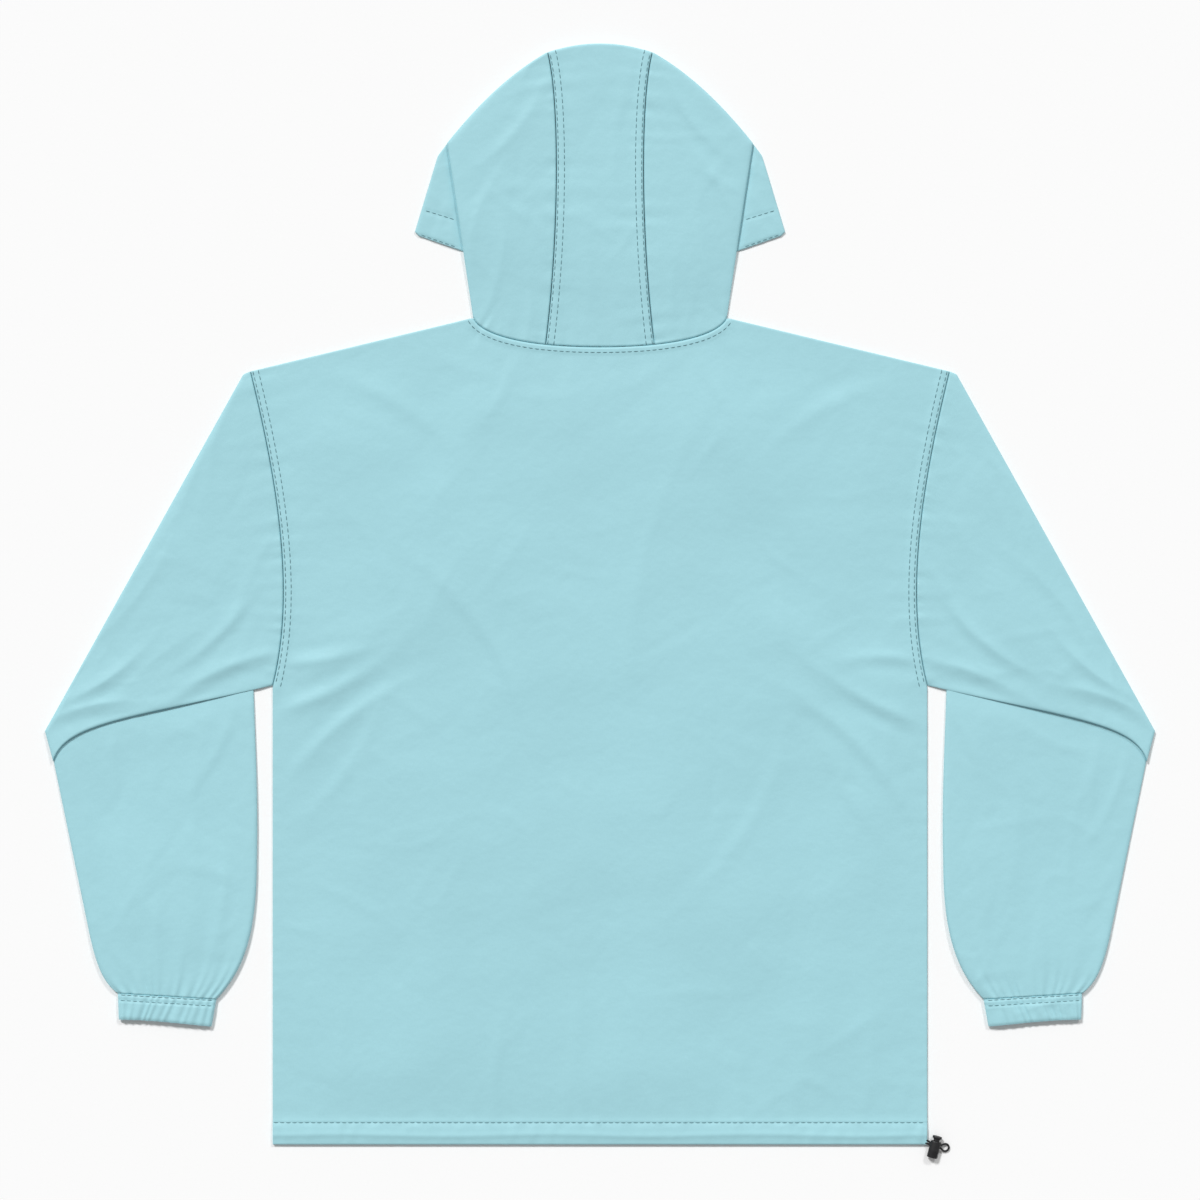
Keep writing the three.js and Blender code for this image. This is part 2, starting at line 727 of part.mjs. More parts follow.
function hemCord() {
  const centres = cordRoute.map(({ along, across, up }) => new THREE.Vector3(along, across, up - lockHeight));
  const section = new THREE.Shape();
  for (let side = 0; side < cordSides; side += 1) {
    const turn = (side + 0.5) * 2 * Math.PI / cordSides;
    const [x, y] = [Math.cos(turn), Math.sin(turn)].map(value => value * cordDiameter / 2);
    if (side === 0) section.moveTo(x, y);
    else section.lineTo(x, y);
  }
  const geometry = new THREE.ExtrudeGeometry(section, {
    steps: 36,
    bevelEnabled: false,
    extrudePath: new THREE.CatmullRomCurve3(centres),
  });
  return solidFromGeometry(geometry);
}

function mirroredGeometry(geometry) {
  const copy = geometry.clone();
  copy.scale(-1, 1, 1);
  const order = Array.from(copy.index.array);
  for (let index = 0; index < order.length; index += 3) {
    [order[index], order[index + 1]] = [order[index + 1], order[index]];
  }
  copy.setIndex(order);
  copy.computeVertexNormals();
  return copy;
}

function namedMesh(name, geometry, look) {
  const mesh = new THREE.Mesh(geometry, new THREE.MeshStandardMaterial(look));
  mesh.name = name;
  return mesh;
}

const anorak = new THREE.Group();
anorak.add(namedMesh('front_panel', geometryFromSolid(frontPanel()), clothLook));
anorak.add(namedMesh('back_panel', geometryFromSolid(backPanel()), clothLook));
anorak.add(namedMesh('hood_centre', geometryFromSolid(hoodCentre()), clothLook));
const pairedPieces = { sleeve: sleeve(), cuff: cuff(), hood_side: hoodSide() };
Object.entries(pairedPieces).forEach(([name, solid]) => {
  const geometry = geometryFromSolid(solid);
  anorak.add(namedMesh(`${name}_right`, geometry, clothLook));
  anorak.add(namedMesh(`${name}_left`, mirroredGeometry(geometry), clothLook));
});

const lock = new THREE.Group();
lock.position.set(lockHole[0], lockHole[1], lockHeight);
lock.rotation.z = lockTurn;
lock.add(namedMesh('cord_lock_barrel', geometryFromSolid(lockBarrel()), lockLook));
lock.add(namedMesh('cord_lock_plunger', geometryFromSolid(lockPlunger()), lockLook));
lock.add(namedMesh('hem_cord', geometryFromSolid(hemCord()), cordLook));
anorak.add(lock);

export default anorak;
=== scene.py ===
# Looks of a hooded pullover anorak that lies flat with its back up.
# Lengths are in millimetres until a mesh is made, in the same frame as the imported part.
import math

import bmesh
import bpy
import numpy as np
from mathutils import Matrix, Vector
from mathutils.bvhtree import BVHTree


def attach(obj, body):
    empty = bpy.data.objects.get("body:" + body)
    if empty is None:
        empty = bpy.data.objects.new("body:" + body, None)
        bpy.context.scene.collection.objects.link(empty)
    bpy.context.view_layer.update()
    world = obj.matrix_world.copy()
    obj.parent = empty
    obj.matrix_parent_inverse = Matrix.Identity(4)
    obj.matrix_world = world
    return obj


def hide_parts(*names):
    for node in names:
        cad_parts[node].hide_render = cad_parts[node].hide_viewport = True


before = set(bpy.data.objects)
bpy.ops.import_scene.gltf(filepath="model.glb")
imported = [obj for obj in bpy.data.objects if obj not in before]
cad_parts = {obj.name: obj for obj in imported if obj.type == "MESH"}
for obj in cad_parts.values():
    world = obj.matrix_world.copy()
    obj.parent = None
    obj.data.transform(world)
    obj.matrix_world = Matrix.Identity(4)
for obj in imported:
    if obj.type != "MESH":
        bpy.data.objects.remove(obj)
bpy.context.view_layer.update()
scene = bpy.context.scene

MM = 0.001
TAU = 2 * math.pi

# Framing of the photograph: its middle, its width on the floor and the camera's height
PHOTO_MIDDLE = (0, -5.5)
PHOTO_WIDTH = 1104
CAMERA_HEIGHT = 3000
SENSOR_WIDTH = 36

# Studio: each sun's strength, azimuth, elevation and softness, the last three in degrees
SUNS = {"key_light": (2.19, 119, 45, 11), "second_light": (0.8, 58, 41, 9)}
SKY_STRENGTH = 0.33
FLOOR_HALF = 30000
FLOOR_Z = -0.3

# Colours in linear light, and thread periods of the weave in metres
CLOTH_COLOUR = (0.371, 0.679, 0.745)
THREAD_COLOUR = (0.12, 0.25, 0.28)
CORD_COLOUR = (0.016, 0.017, 0.019)
PLASTIC_COLOUR = (0.012, 0.012, 0.013)
FLOOR_COLOUR = (0.975, 0.975, 0.975)
WARP_PERIOD = 0.00052
WEFT_PERIOD = 0.00058

# The part's own sizes
SIDES = ((1, "right"), (-1, "left"))
HEM_DEPTH = 20
HEM_FOLD = 0.4
HEM_Y = -506
HEM_STITCH_Y = -485.8
HALF_CHEST = 300.8
ARMPIT_Y = -84
SHOULDER_TIP = (321.3, 204.7)
NECK_SIDE = (116.8, 253.9)
BACK_NECK_Y = 227.1
FRONT_NECK_Y = 167
NECK_SEAM_SHARE = 0.294
SLEEVE_CORNER = (328, 202)
ELBOW_TIP = (510.3, -126)
TUCK_END = (502.3, -154)
FOREARM_HIDDEN = ((500, -118), (318.6, -66))
INNER_START = (318.6, -88.3)
INNER_BEND = (315.5, -245)
OUTER_BEND = (470.1, -308.2)
CUFF_TOP_OUTER = (443.1, -367.1)
CUFF_TOP_INNER = (352.6, -372.6)
CUFF_END_OUTER = (442.1, -391)
CUFF_END_INNER = (357, -397.4)
CROWN_Y = 506
CROWN_SEAM = (48.3, 497.9)
CROWN_SIDE = (140.5, 414.5)
WING_TOP = (149, 403)
WING_TIP = (170.2, 333)
WING_TURN = (166.5, 329.4)
WING_INNER = (127.5, 315.8)
WING_WALL = 2.4
FRONT_TOP = 1.2
BACK_BOTTOM = 1.5
BACK_TOP = 2.7
BACK_RISE = 1.6
SLEEVE_RISE = 3.2
FOREARM_START_TOP = 3.0
FOREARM_END_TOP = 6.0
HOOD_RISE = 3.3
TUCK_LIFT = 3.2
UNDERSIDE = 0.1
CUFF_TOP = 6.0
CUFF_GATHERS = 12

# Cloth walls and the slit at a seam
CLOTH_WALL = 0.45
CUFF_WALL = 1.4
SEAM_SLIT = 0.45
HALF_SLIT = SEAM_SLIT / 2

# Mesh cells, how far the round of a folded edge reaches, and the first mesh lines at each kind of border
CELL = 3.3
BODY_CELL = 3.9
FRONT_CELL = 12
CUFF_CELL = 1.25
WING_CELL = 2.4
FLAP_CELL = 6
ROUND = 4.0
BACK_ROUND = 1.3
FRONT_ROUND = 0.6
WING_ROUND = 2.2
FLAP_ROUND = 0.4
FOLD_STEPS = [0, 0.1, 0.4, 0.9, 1.6, 2.6, 4.0]
TURNED_STEPS = [0, 0.1, 0.4, 0.9, 1.6, 2.4, 3.4, 4.6, 6.0, 7.6, 9.2]
EDGE_STEPS = {
    "fold": FOLD_STEPS,
    "open": FOLD_STEPS,
    "seam": [0, 0.5, 1.0, 1.6, 2.4, 3.4, 4.6, 6.0, 7.6, 9.2],
    "turned": TURNED_STEPS,
    "hem": TURNED_STEPS + [11, 13, 15, 16.8, 18.2, 18.9, 19.4, 19.8,
                           20.2, 20.6, 21.0, 21.5, 22.2, 23.4, 25.2],
    "plain": [0],
}
FOLDED = ("fold", "turned", "hem")

# Relief of the cloth
CREASE_DEPTH = 1.9
CRUMPLE_DEPTH = 0.5
PUCKER_DEPTH = 0.8
GROOVE_DEPTH = 1.1
GROOVE_WIDTH = 0.85
TURNED_GROOVE = 0.3
BAND_HEIGHT = 0.5
ARMHOLE_BAND = 8.6
HOOD_BAND = 8.8
NECK_BAND = 6.6

# Seeds of the puckers, the same on both sides of a seam
ARMHOLE_SEED = 3.1
NECK_SEED = 6.4
HOOD_SEED = 4.4
CUFF_SEED = 7.3

# Topstitching, with the distance of each row from its seam
STITCH_LENGTH = 4.0
STITCH_PERIOD = 5.7
THREAD_WIDTH = 0.72
ARMHOLE_ROWS = (2.2, 7.2)
HOOD_ROWS = (1.8, 7.4)
NECK_ROWS = (5.0,)
CUFF_ROWS = (0.85, 5.9)

# Cord lock
LOCK_HOLE = (308, -506.4)
LOCK_TURN = math.radians(-15)
LOCK_HEIGHT = 3.9
CORD_WIDTH = 1.8
CORD_ROUTE = [
    # along the hole, across it, above the floor
    (-6.85, -0.58, 2.85), (-6.10, -0.66, 3.05), (-5.30, -1.00, 3.30), (-3.90, -1.06, 3.70),
    (-1.80, -1.05, 3.88), (0.00, -1.05, 3.90), (2.20, -1.05, 3.90), (4.00, -1.08, 3.78),
    (5.80, -1.55, 3.15), (7.60, -2.65, 2.15), (9.50, -3.35, 1.40), (11.40, -2.90, 1.10),
    (12.70, -1.60, 1.10), (13.10, 0.00, 1.10), (12.70, 1.60, 1.10), (11.40, 2.90, 1.10),
    (9.50, 3.35, 1.40), (7.60, 2.65, 2.15), (5.80, 1.55, 3.15), (4.00, 1.08, 3.78),
    (2.20, 1.05, 3.90), (0.00, 1.05, 3.90), (-1.80, 1.05, 3.88), (-3.90, 1.06, 3.70),
    (-5.30, 1.20, 3.30), (-6.30, 1.72, 3.05), (-7.25, 1.88, 2.85),
]
CORD_START = (-9.20, -0.45, 2.70)
CORD_END = (-9.60, 2.10, 2.70)

# Creases: x, y, angle from +X in degrees, length, width, height, bend
BODY_FOLDS = [
    (-205, -40, 28, 120, 26, 1.5, 0), (215, -60, 148, 105, 22, 1.3, 0),
    (-120, 150, 62, 85, 20, 1.0, 0), (130, 128, 116, 95, 24, 1.1, 0),
    (-150, -300, 84, 130, 30, 1.4, 0), (60, -250, 97, 165, 34, 1.5, 0),
    (205, -350, 78, 95, 24, 1.1, 0),
]
BODY_CREASES = [
    (-262, -96, 22, 62, 6.5, 1.0, 7), (-240, -120, 40, 74, 7, 0.8, -9),
    (-268, -62, 6, 48, 5.5, 0.7, 5), (-226, -150, 58, 60, 8, 0.6, 6),
    (258, -104, 155, 66, 6.5, 1.0, -7), (236, -138, 134, 80, 7.5, 0.8, 10),
    (270, -58, 176, 44, 5, 0.7, 5), (222, -176, 118, 56, 8, 0.6, -7),
    (-86, 196, 70, 36, 6, 0.6, 6), (-30, 186, 86, 40, 7, 0.5, -5),
    (44, 190, 97, 44, 6.5, 0.6, 5), (98, 200, 112, 34, 6, 0.6, -6),
    (-190, 178, 150, 60, 8, 0.5, 8), (206, 172, 28, 56, 8, 0.5, -8),
    (-92, -60, 118, 110, 9, 0.7, 22), (36, 20, 78, 130, 9, 0.6, -20),
    (148, -190, 64, 96, 9, 0.6, 16), (-214, -226, 100, 84, 9, 0.6, -14),
    (-20, -372, 92, 70, 8, 0.7, 10), (-96, -430, 84, 46, 6.5, 0.7, -5),
    (128, -424, 98, 52, 7, 0.7, 6), (250, -428, 88, 44, 6.5, 0.6, 5),
    (-238, -434, 93, 42, 6.5, 0.6, -4), (20, -440, 96, 34, 6, 0.6, 4),
]
SLEEVE_FOLDS = [
    (350, 20, 124, 90, 18, 0.54, 0), (400, -50, 150, 75, 14, 0.48, 0),
    (415, -215, 96, 80, 16, 0.54, 0), (372, -270, 82, 60, 13, 0.48, 0),
]
UPPER_CREASES = {
    1: [
        (338, -70, 162, 46, 6, 0.9, 5), (352, -44, 140, 52, 6.5, 0.8, -6),
        (330, -18, 118, 48, 6, 0.6, 5), (470, -96, 158, 40, 6, 0.9, 5),
        (452, -72, 142, 46, 6.5, 0.8, -6), (484, -66, 122, 36, 6, 0.7, 4),
        (392, 62, 112, 80, 8, 0.5, 10), (348, 132, 104, 60, 8, 0.5, -6),
        (424, -8, 128, 60, 8, 0.5, 9),
    ],
    -1: [
        (340, -66, 158, 50, 6, 0.9, 6), (346, -34, 134, 46, 6, 0.8, -5),
        (326, 6, 112, 50, 6.5, 0.6, 5), (474, -104, 165, 38, 5.5, 0.9, 4),
        (458, -82, 148, 50, 6.5, 0.8, -7), (478, -48, 118, 40, 6.5, 0.6, 5),
        (384, 84, 116, 74, 8, 0.5, -10), (352, 150, 106, 52, 8, 0.5, 5),
        (416, 10, 124, 66, 8, 0.5, -9),
    ],
}
FOREARM_CREASES = {
    1: [
        (476, -176, 70, 44, 5.5, 0.8, 5), (452, -172, 84, 50, 6, 0.7, -5),
        (345, -150, 112, 46, 6, 0.7, 5), (384, -176, 96, 60, 7, 0.6, 8),
        (430, -250, 88, 56, 7, 0.6, -7), (352, -292, 100, 44, 6, 0.6, 5),
        (400, -318, 86, 36, 5.5, 0.5, 4),
    ],
    -1: [
        (480, -184, 74, 48, 6, 0.8, -5), (448, -160, 88, 42, 5.5, 0.7, 5),
        (350, -142, 116, 42, 6, 0.7, -5), (374, -192, 92, 64, 7, 0.6, 8),
        (436, -262, 84, 52, 7, 0.6, 6), (346, -282, 97, 48, 6, 0.6, -5),
        (408, -312, 90, 34, 5.5, 0.5, 4),
    ],
}
HOOD_CREASES = [
    (-92, 300, 78, 52, 7, 0.7, 7), (-112, 352, 70, 46, 7, 0.6, -6),
    (96, 306, 104, 56, 7, 0.7, -7), (116, 362, 114, 44, 6.5, 0.6, 6),
    (-74, 430, 52, 46, 7, 0.6, 6), (82, 436, 126, 42, 7, 0.6, -6),
    (-64, 262, 88, 30, 5.5, 0.6, 4), (66, 266, 94, 32, 5.5, 0.6, -4),
    (-10, 300, 92, 60, 8, 0.5, 6), (14, 420, 84, 60, 8, 0.5, -7),
]


# Curves take an array of shares of the way and give points
def bezier(a, b, c, d):
    a, b, c, d = (np.array(p, float) for p in (a, b, c, d))

    def curve(t):
        t = np.asarray(t, float)[..., None]
        u = 1 - t
        return a * u ** 3 + 3 * b * t * u ** 2 + 3 * c * t ** 2 * u + d * t ** 3

    return curve


def line(a, b):
    a, b = np.array(a, float), np.array(b, float)
    return lambda t: a + (b - a) * np.asarray(t, float)[..., None]


def chain(curves, breaks):
    marks = [0, *breaks, 1]

    def curve(t):
        t = np.asarray(t, float)
        points = curves[0]((t - marks[0]) / (marks[1] - marks[0]))
        for index in range(1, len(curves)):
            here = curves[index]((t - marks[index]) / (marks[index + 1] - marks[index]))
            points = np.where((t > marks[index])[..., None], here, points)
        return points

    return curve


def mirrored(curve):
    return lambda t: curve(t) * [-1, 1]


def backwards(curve):
    return lambda t: curve(1 - t)


def shifted(curve, dx, dy=0):
    return lambda t: curve(t) + [dx, dy]


def part_of(curve, start, end):
    return lambda t: curve(start + (end - start) * np.asarray(t, float))


def beside(curve, distance):
    """A curve parallel to another, at a distance to the left of its run."""
    step = 1e-3

    def moved(t):
        t = np.asarray(t, float)
        run = curve(t + step) - curve(t - step)
        run = run / np.linalg.norm(run, axis=-1, keepdims=True)
        return curve(t) + distance * np.stack([-run[..., 1], run[..., 0]], -1)

    return moved


def coons(first, last, low, high):
    """A surface patch stretched between four border curves."""
    corners = [first(0), first(1), last(0), last(1)]

    def patch(s, k):
        s, k = np.broadcast_arrays(np.asarray(s, float), np.asarray(k, float))
        u, v = s[..., None], k[..., None]
        blend = (1 - v) * first(s) + v * last(s) + (1 - u) * low(k) + u * high(k)
        fixed = (1 - u) * (1 - v) * corners[0] + u * (1 - v) * corners[1]
        return blend - fixed - (1 - u) * v * corners[2] - u * v * corners[3]

    return patch


def smooth(value):
    t = np.clip(value, 0, 1)
    return t * t * (3 - 2 * t)


def gauss(value):
    return np.exp(-value ** 2)


def ridge_rows(x, y, rows, sharpness):
    """Height of a table of ridges; each fades along its length and may bend."""
    total = np.zeros_like(x)
    for cx, cy, angle, length, width, height, bend in rows:
        turn = math.radians(angle)
        along = ((x - cx) * math.cos(turn) + (y - cy) * math.sin(turn)) / length
        across = (y - cy) * math.cos(turn) - (x - cx) * math.sin(turn) - bend * along ** 2
        total += height * gauss(along) * np.exp(-np.abs(across / width) ** sharpness)
    return total


def creases(x, y, rows):
    """Creases have a fine crest on one side and a shallow trough beside it."""
    beside_rows = [(cx, cy + 2.1 * w * math.cos(math.radians(a)), a, l * 0.9, w * 1.2, -0.45 * h, b)
                   for cx, cy, a, l, w, h, b in rows]
    return CREASE_DEPTH * (ridge_rows(x, y, rows, 1.5) + ridge_rows(x, y, beside_rows, 2))


def crumple(x, y, box, count, seed):
    """Small creases spread unevenly over a box."""
    random = np.random.default_rng(seed)
    rows = []
    for _ in range(count):
        rows.append((
            random.uniform(box[0], box[1]), random.uniform(box[2], box[3]),
            random.uniform(0, 180), random.uniform(12, 46), random.uniform(2.4, 6),
            CRUMPLE_DEPTH * random.uniform(0.3, 1) * random.choice([1, -0.7]), random.uniform(-6, 6),
        ))
    return ridge_rows(x, y, rows, 1.4)


def drift(x, y, seed):
    """Long low waves of cloth that doesn't lie quite flat."""
    total = np.zeros_like(x)
    for turn, length, depth in [(0.4, 210, 0.5), (1.7, 150, 0.35), (2.6, 95, 0.22), (1.1, 62, 0.12)]:
        along = x * math.cos(turn + seed) + y * math.sin(turn + seed)
        across = y * math.cos(turn + seed) - x * math.sin(turn + seed)
        bow = 0.8 * np.sin(TAU * across / (2.3 * length) + 1.9 * seed)
        total += depth * np.sin(TAU * along / length + bow + 2.7 * seed)
    return total


def ripple(u, seed, lengths):
    """Uneven waves along a seam, between about -1 and 1."""
    total = np.zeros_like(u)
    for index, length in enumerate(lengths):
        phase = 2.4 * seed + 1.7 * index
        total += np.sin(TAU * u / length + phase + 1.5 * np.sin(TAU * u / (4.7 * length) + phase))
    return total / len(lengths) * (0.7 + 0.3 * np.sin(TAU * u / 87 + 1.3 * seed))


def along_seam(x, y, curve, count=70):
    """Distance of each point from a seam, and how far along the seam it lies."""
    knots = curve(np.linspace(0, 1, count))
    best = np.full(x.shape, 1e9)
    place = np.zeros(x.shape)
    walked = 0
    for a, b in zip(knots[:-1], knots[1:]):
        length = np.hypot(*(b - a))
        share = ((x - a[0]) * (b[0] - a[0]) + (y - a[1]) * (b[1] - a[1])) / length ** 2
        share = np.clip(share, 0, 1)
        distance = np.hypot(x - a[0] - share * (b[0] - a[0]), y - a[1] - share * (b[1] - a[1]))
        nearer = distance < best
        best = np.where(nearer, distance, best)
        place = np.where(nearer, walked + share * length, place)
        walked += length
    return best, place


def puckers(distance, place, seed, depth=PUCKER_DEPTH):
    """Small waves that a sewn line draws into the cloth beside it."""
    near = ripple(place, seed, (7.9, 11.3, 14.1)) * np.exp(-distance / 7)
    far = ripple(place, seed + 4, (16.5, 23.8, 31)) * np.exp(-distance / 19)
    return depth * (near + 0.9 * far)


def seam_relief(x, y, curve, seed, band=None, rows=(), groove=GROOVE_DEPTH):
    """A groove on the seam, a raised band where the allowance lies below, and pulled-in stitch rows."""
    distance, place = along_seam(x, y, curve)
    height = -groove * gauss(distance / GROOVE_WIDTH)
    lying = 1.0
    if band:
        raised = smooth((distance - 0.2) / 1.1) * smooth((band + 1.2 - distance) / 2.2)
        height = height + BAND_HEIGHT * raised
        lying = 1 - 0.45 * raised
    for row in rows:
        pull = 0.8 + 0.2 * np.cos(TAU * place / STITCH_PERIOD)
        height = height - 0.3 * pull * gauss((distance - row) / 0.65)
    return height + lying * puckers(distance, place, seed)


class Grid:
    """Stations over a patch, close together by its borders, with their places in the frame."""

    def __init__(self, patch, cell, across, along, side=1):
        middle = float(np.linalg.norm(patch(0.5, 1) - patch(0.5, 0)))
        self.k = self.shares(middle, along, round((middle - 10) / cell))[:, None]
        widths = np.linalg.norm(patch(1, self.k) - patch(0, self.k), axis=-1)
        count = round((widths.max() - 10) / cell)
        self.s = np.array([self.shares(width, across, count) for width in widths[:, 0]])
        self.k = np.broadcast_to(self.k, self.s.shape)
        points = patch(self.s, self.k)
        self.x, self.y = side * points[..., 0], points[..., 1]
        heights = np.linalg.norm(patch(self.s, 1) - patch(self.s, 0), axis=-1)
        self.borders = {
            "left": (across[0], self.s * widths), "right": (across[1], (1 - self.s) * widths),
            "low": (along[0], self.k * heights), "high": (along[1], (1 - self.k) * heights),
        }

    @staticmethod
    def shares(length, kinds, count):
        start = np.array(EDGE_STEPS[kinds[0]], float)
        end = np.array(EDGE_STEPS[kinds[1]], float)
        room = 0.45 * length
        start = start * min(1, room / max(start[-1], 1e-9))
        end = end * min(1, room / max(end[-1], 1e-9))
        inner = np.linspace(start[-1], length - end[-1], max(count, 1) + 1)[1:-1]
        return np.concatenate([start, inner, (length - end)[::-1]]) / length

    def mask(self, reach):
        """Falls to nothing at the borders of the patch."""
        s, k = self.s, self.k
        return smooth(s / reach) * smooth((1 - s) / reach) * smooth(k / reach) * smooth((1 - k) / reach)


def quads(rows, columns, offset, flipped):
    index = offset + np.arange(rows * columns).reshape(rows, columns)
    faces = np.stack([index[:-1, :-1], index[:-1, 1:], index[1:, 1:], index[1:, :-1]], -1)
    return faces[..., ::-1] if flipped else faces


def reached(grid, reach):
    """Places of the lower layer, which goes on a little under each seam."""
    x, y = grid.x.copy(), grid.y.copy()
    ends = {
        "left": (np.s_[:, 0], np.s_[:, 1]), "right": (np.s_[:, -1], np.s_[:, -2]),
        "low": (np.s_[0], np.s_[1]), "high": (np.s_[-1], np.s_[-2]),
    }
    for name, (edge, inner) in ends.items():
        if grid.borders[name][0] != "seam":
            continue
        run_x, run_y = grid.x[edge] - grid.x[inner], grid.y[edge] - grid.y[inner]
        length = np.hypot(run_x, run_y)
        x[edge] += reach[edge] * run_x / length
        y[edge] += reach[edge] * run_y / length
    return x, y


surfaces = {}


def shell(grid, top, bottom, fold_shares=None, fold_round=ROUND, kept=None, reach=0.9, surface=None):
    """Points and faces of cloth over a grid, with two layers that meet in a round at each folded border.

    The lower layer has only the kept cells. Under a surface's name the upper one is kept for stitches.
    """
    fold_shares = fold_shares or {}
    high = np.broadcast_to(np.array(top, float), grid.x.shape)
    low = np.broadcast_to(np.array(bottom, float), high.shape)
    nearest = np.full(high.shape, fold_round)
    share = np.full(high.shape, 0.5)
    for name, (kind, distance) in grid.borders.items():
        if kind not in FOLDED:
            continue
        nearer = distance < nearest
        nearest = np.where(nearer, distance, nearest)
        share = np.where(nearer, fold_shares.get(name, 0.5), share)
    opening = np.sqrt(np.clip(1 - (1 - nearest / fold_round) ** 2, 0, 1))
    middle = low + (high - low) * share
    rows, columns = high.shape
    run = (grid.x[:, 1:] - grid.x[:, :-1])[:-1] * (grid.y[1:] - grid.y[:-1])[:, :-1]
    turn = (grid.y[:, 1:] - grid.y[:, :-1])[:-1] * (grid.x[1:] - grid.x[:-1])[:, :-1]
    flipped = (run - turn).sum() < 0
    under_x, under_y = reached(grid, reach * HALF_SLIT * opening)
    upper = np.stack([grid.x, grid.y, middle + (high - middle) * opening], -1).reshape(-1, 3)
    lower = np.stack([under_x, under_y, middle - (middle - low) * opening], -1).reshape(-1, 3)
    upper_faces = quads(rows, columns, 0, flipped).reshape(-1, 4)
    lower_faces = quads(rows, columns, rows * columns, not flipped)
    if kept is not None:
        lower_faces = lower_faces[kept[:-1, :-1] & kept[1:, 1:]]
    if surface:
        surfaces[surface] = BVHTree.FromPolygons(upper.tolist(), upper_faces.tolist())
    return np.concatenate([upper, lower]), np.concatenate([upper_faces, lower_faces.reshape(-1, 4)])


def height_on(surface, x, y):
    """Height of a kept surface at a place, or None beyond its edge."""
    hit = surfaces[surface].ray_cast(Vector((x, y, 60)), Vector((0, 0, -1)))
    return hit[0].z if hit[0] is not None else None


def joined(parts):
    """Several point and face lists as one."""
    points, faces, offset = [], [], 0
    for part_points, part_faces in parts:
        points.append(np.asarray(part_points, float))
        faces.extend(tuple(int(i) + offset for i in face) for face in part_faces)
        offset += len(part_points)
    return np.concatenate(points), faces


def mesh_object(name, points, faces, material, weld=True):
    mesh = bpy.data.meshes.new(name)
    mesh.from_pydata((np.asarray(points) * MM).tolist(), [], [tuple(map(int, face)) for face in faces])
    if weld:
        work = bmesh.new()
        work.from_mesh(mesh)
        bmesh.ops.remove_doubles(work, verts=work.verts, dist=1e-6)
        loose = [vertex for vertex in work.verts if not vertex.link_faces]
        bmesh.ops.delete(work, geom=loose, context="VERTS")
        work.to_mesh(mesh)
        work.free()
    mesh.shade_smooth()
    mesh.materials.append(material)
    obj = bpy.data.objects.new(name, mesh)
    scene.collection.objects.link(obj)
    return obj


def apply_modifiers(obj):
    graph = bpy.context.evaluated_depsgraph_get()
    finished = bpy.data.meshes.new_from_object(obj.evaluated_get(graph))
    obj.modifiers.clear()
    obj.data = finished


def give_wall(obj, wall):
    """Gives the cloth its thickness, on the side away from its face."""
    modifier = obj.modifiers.new("wall", "SOLIDIFY")
    modifier.thickness = wall * MM
    modifier.offset = -1
    apply_modifiers(obj)


def cloth_object(name, points, faces, material, wall=CLOTH_WALL):
    obj = mesh_object(name, points, faces, material)
    give_wall(obj, wall)
    return obj


def cut_away(obj, outline, low, high):
    """Cuts a prism over a closed outline out of a piece."""
    count = len(outline)
    points = [(x, y, z) for z in (low, high) for x, y in outline]
    faces = [tuple(range(count))[::-1], tuple(range(count, 2 * count))]
    faces += [(i, (i + 1) % count, count + (i + 1) % count, count + i) for i in range(count)]
    tool = mesh_object("cutter", points, faces, obj.data.materials[0])
    modifier = obj.modifiers.new("cut", "BOOLEAN")
    modifier.operation = "DIFFERENCE"
    modifier.solver = "EXACT"
    modifier.object = tool
    apply_modifiers(obj)
    bpy.data.objects.remove(tool)


# Materials
def new_material(name):
    material = bpy.data.materials.new(name)
    material.use_nodes = True
    tree = material.node_tree
    tree.nodes.clear()
    output = tree.nodes.new("ShaderNodeOutputMaterial")
    shader = tree.nodes.new("ShaderNodeBsdfPrincipled")
    tree.links.new(shader.outputs["BSDF"], output.inputs["Surface"])
    return material, tree, shader


def set_inputs(tree, node, values):
    """Gives each named input its value, or links a node's output to it."""
    for name, value in values.items():
        if isinstance(value, bpy.types.NodeSocket):
            tree.links.new(value, node.inputs[name])
        else:
            node.inputs[name].default_value = value


def add_node(tree, kind, output, inputs, **settings):
    """Adds a node with its inputs and settings, and gives the named output."""
    node = tree.nodes.new(kind)
    for name, value in settings.items():
        setattr(node, name, value)
    set_inputs(tree, node, inputs)
    return node.outputs[output]


def noise_node(tree, vector, scale, detail=4.0, roughness=0.55):
    inputs = {"Vector": vector, "Scale": scale, "Detail": detail, "Roughness": roughness}
    return add_node(tree, "ShaderNodeTexNoise", "Fac", inputs)


def band_node(tree, vector, direction, period):
    """Threads side by side, a period apart in metres."""
    inputs = {"Vector": vector, "Scale": TAU / (20 * period), "Distortion": 0.6, "Detail": 1.0}
    return add_node(tree, "ShaderNodeTexWave", "Fac", inputs, wave_type="BANDS", bands_direction=direction)


def math_node(tree, operation, first, second):
    return add_node(tree, "ShaderNodeMath", 0, {0: first, 1: second}, operation=operation)


def range_node(tree, value, low, high):
    return add_node(tree, "ShaderNodeMapRange", "Result", {"Value": value, "To Min": low, "To Max": high})


def tinted(tree, colour, factor):
    """A colour made lighter and darker by a factor near 1."""
    return add_node(tree, "ShaderNodeVectorMath", "Vector", {0: colour, "Scale": factor}, operation="SCALE")


def bump_node(tree, height, distance, strength, before=None):
    inputs = {"Height": height, "Distance": distance, "Strength": strength}
    if before is not None:
        inputs["Normal"] = before
    return add_node(tree, "ShaderNodeBump", "Normal", inputs)


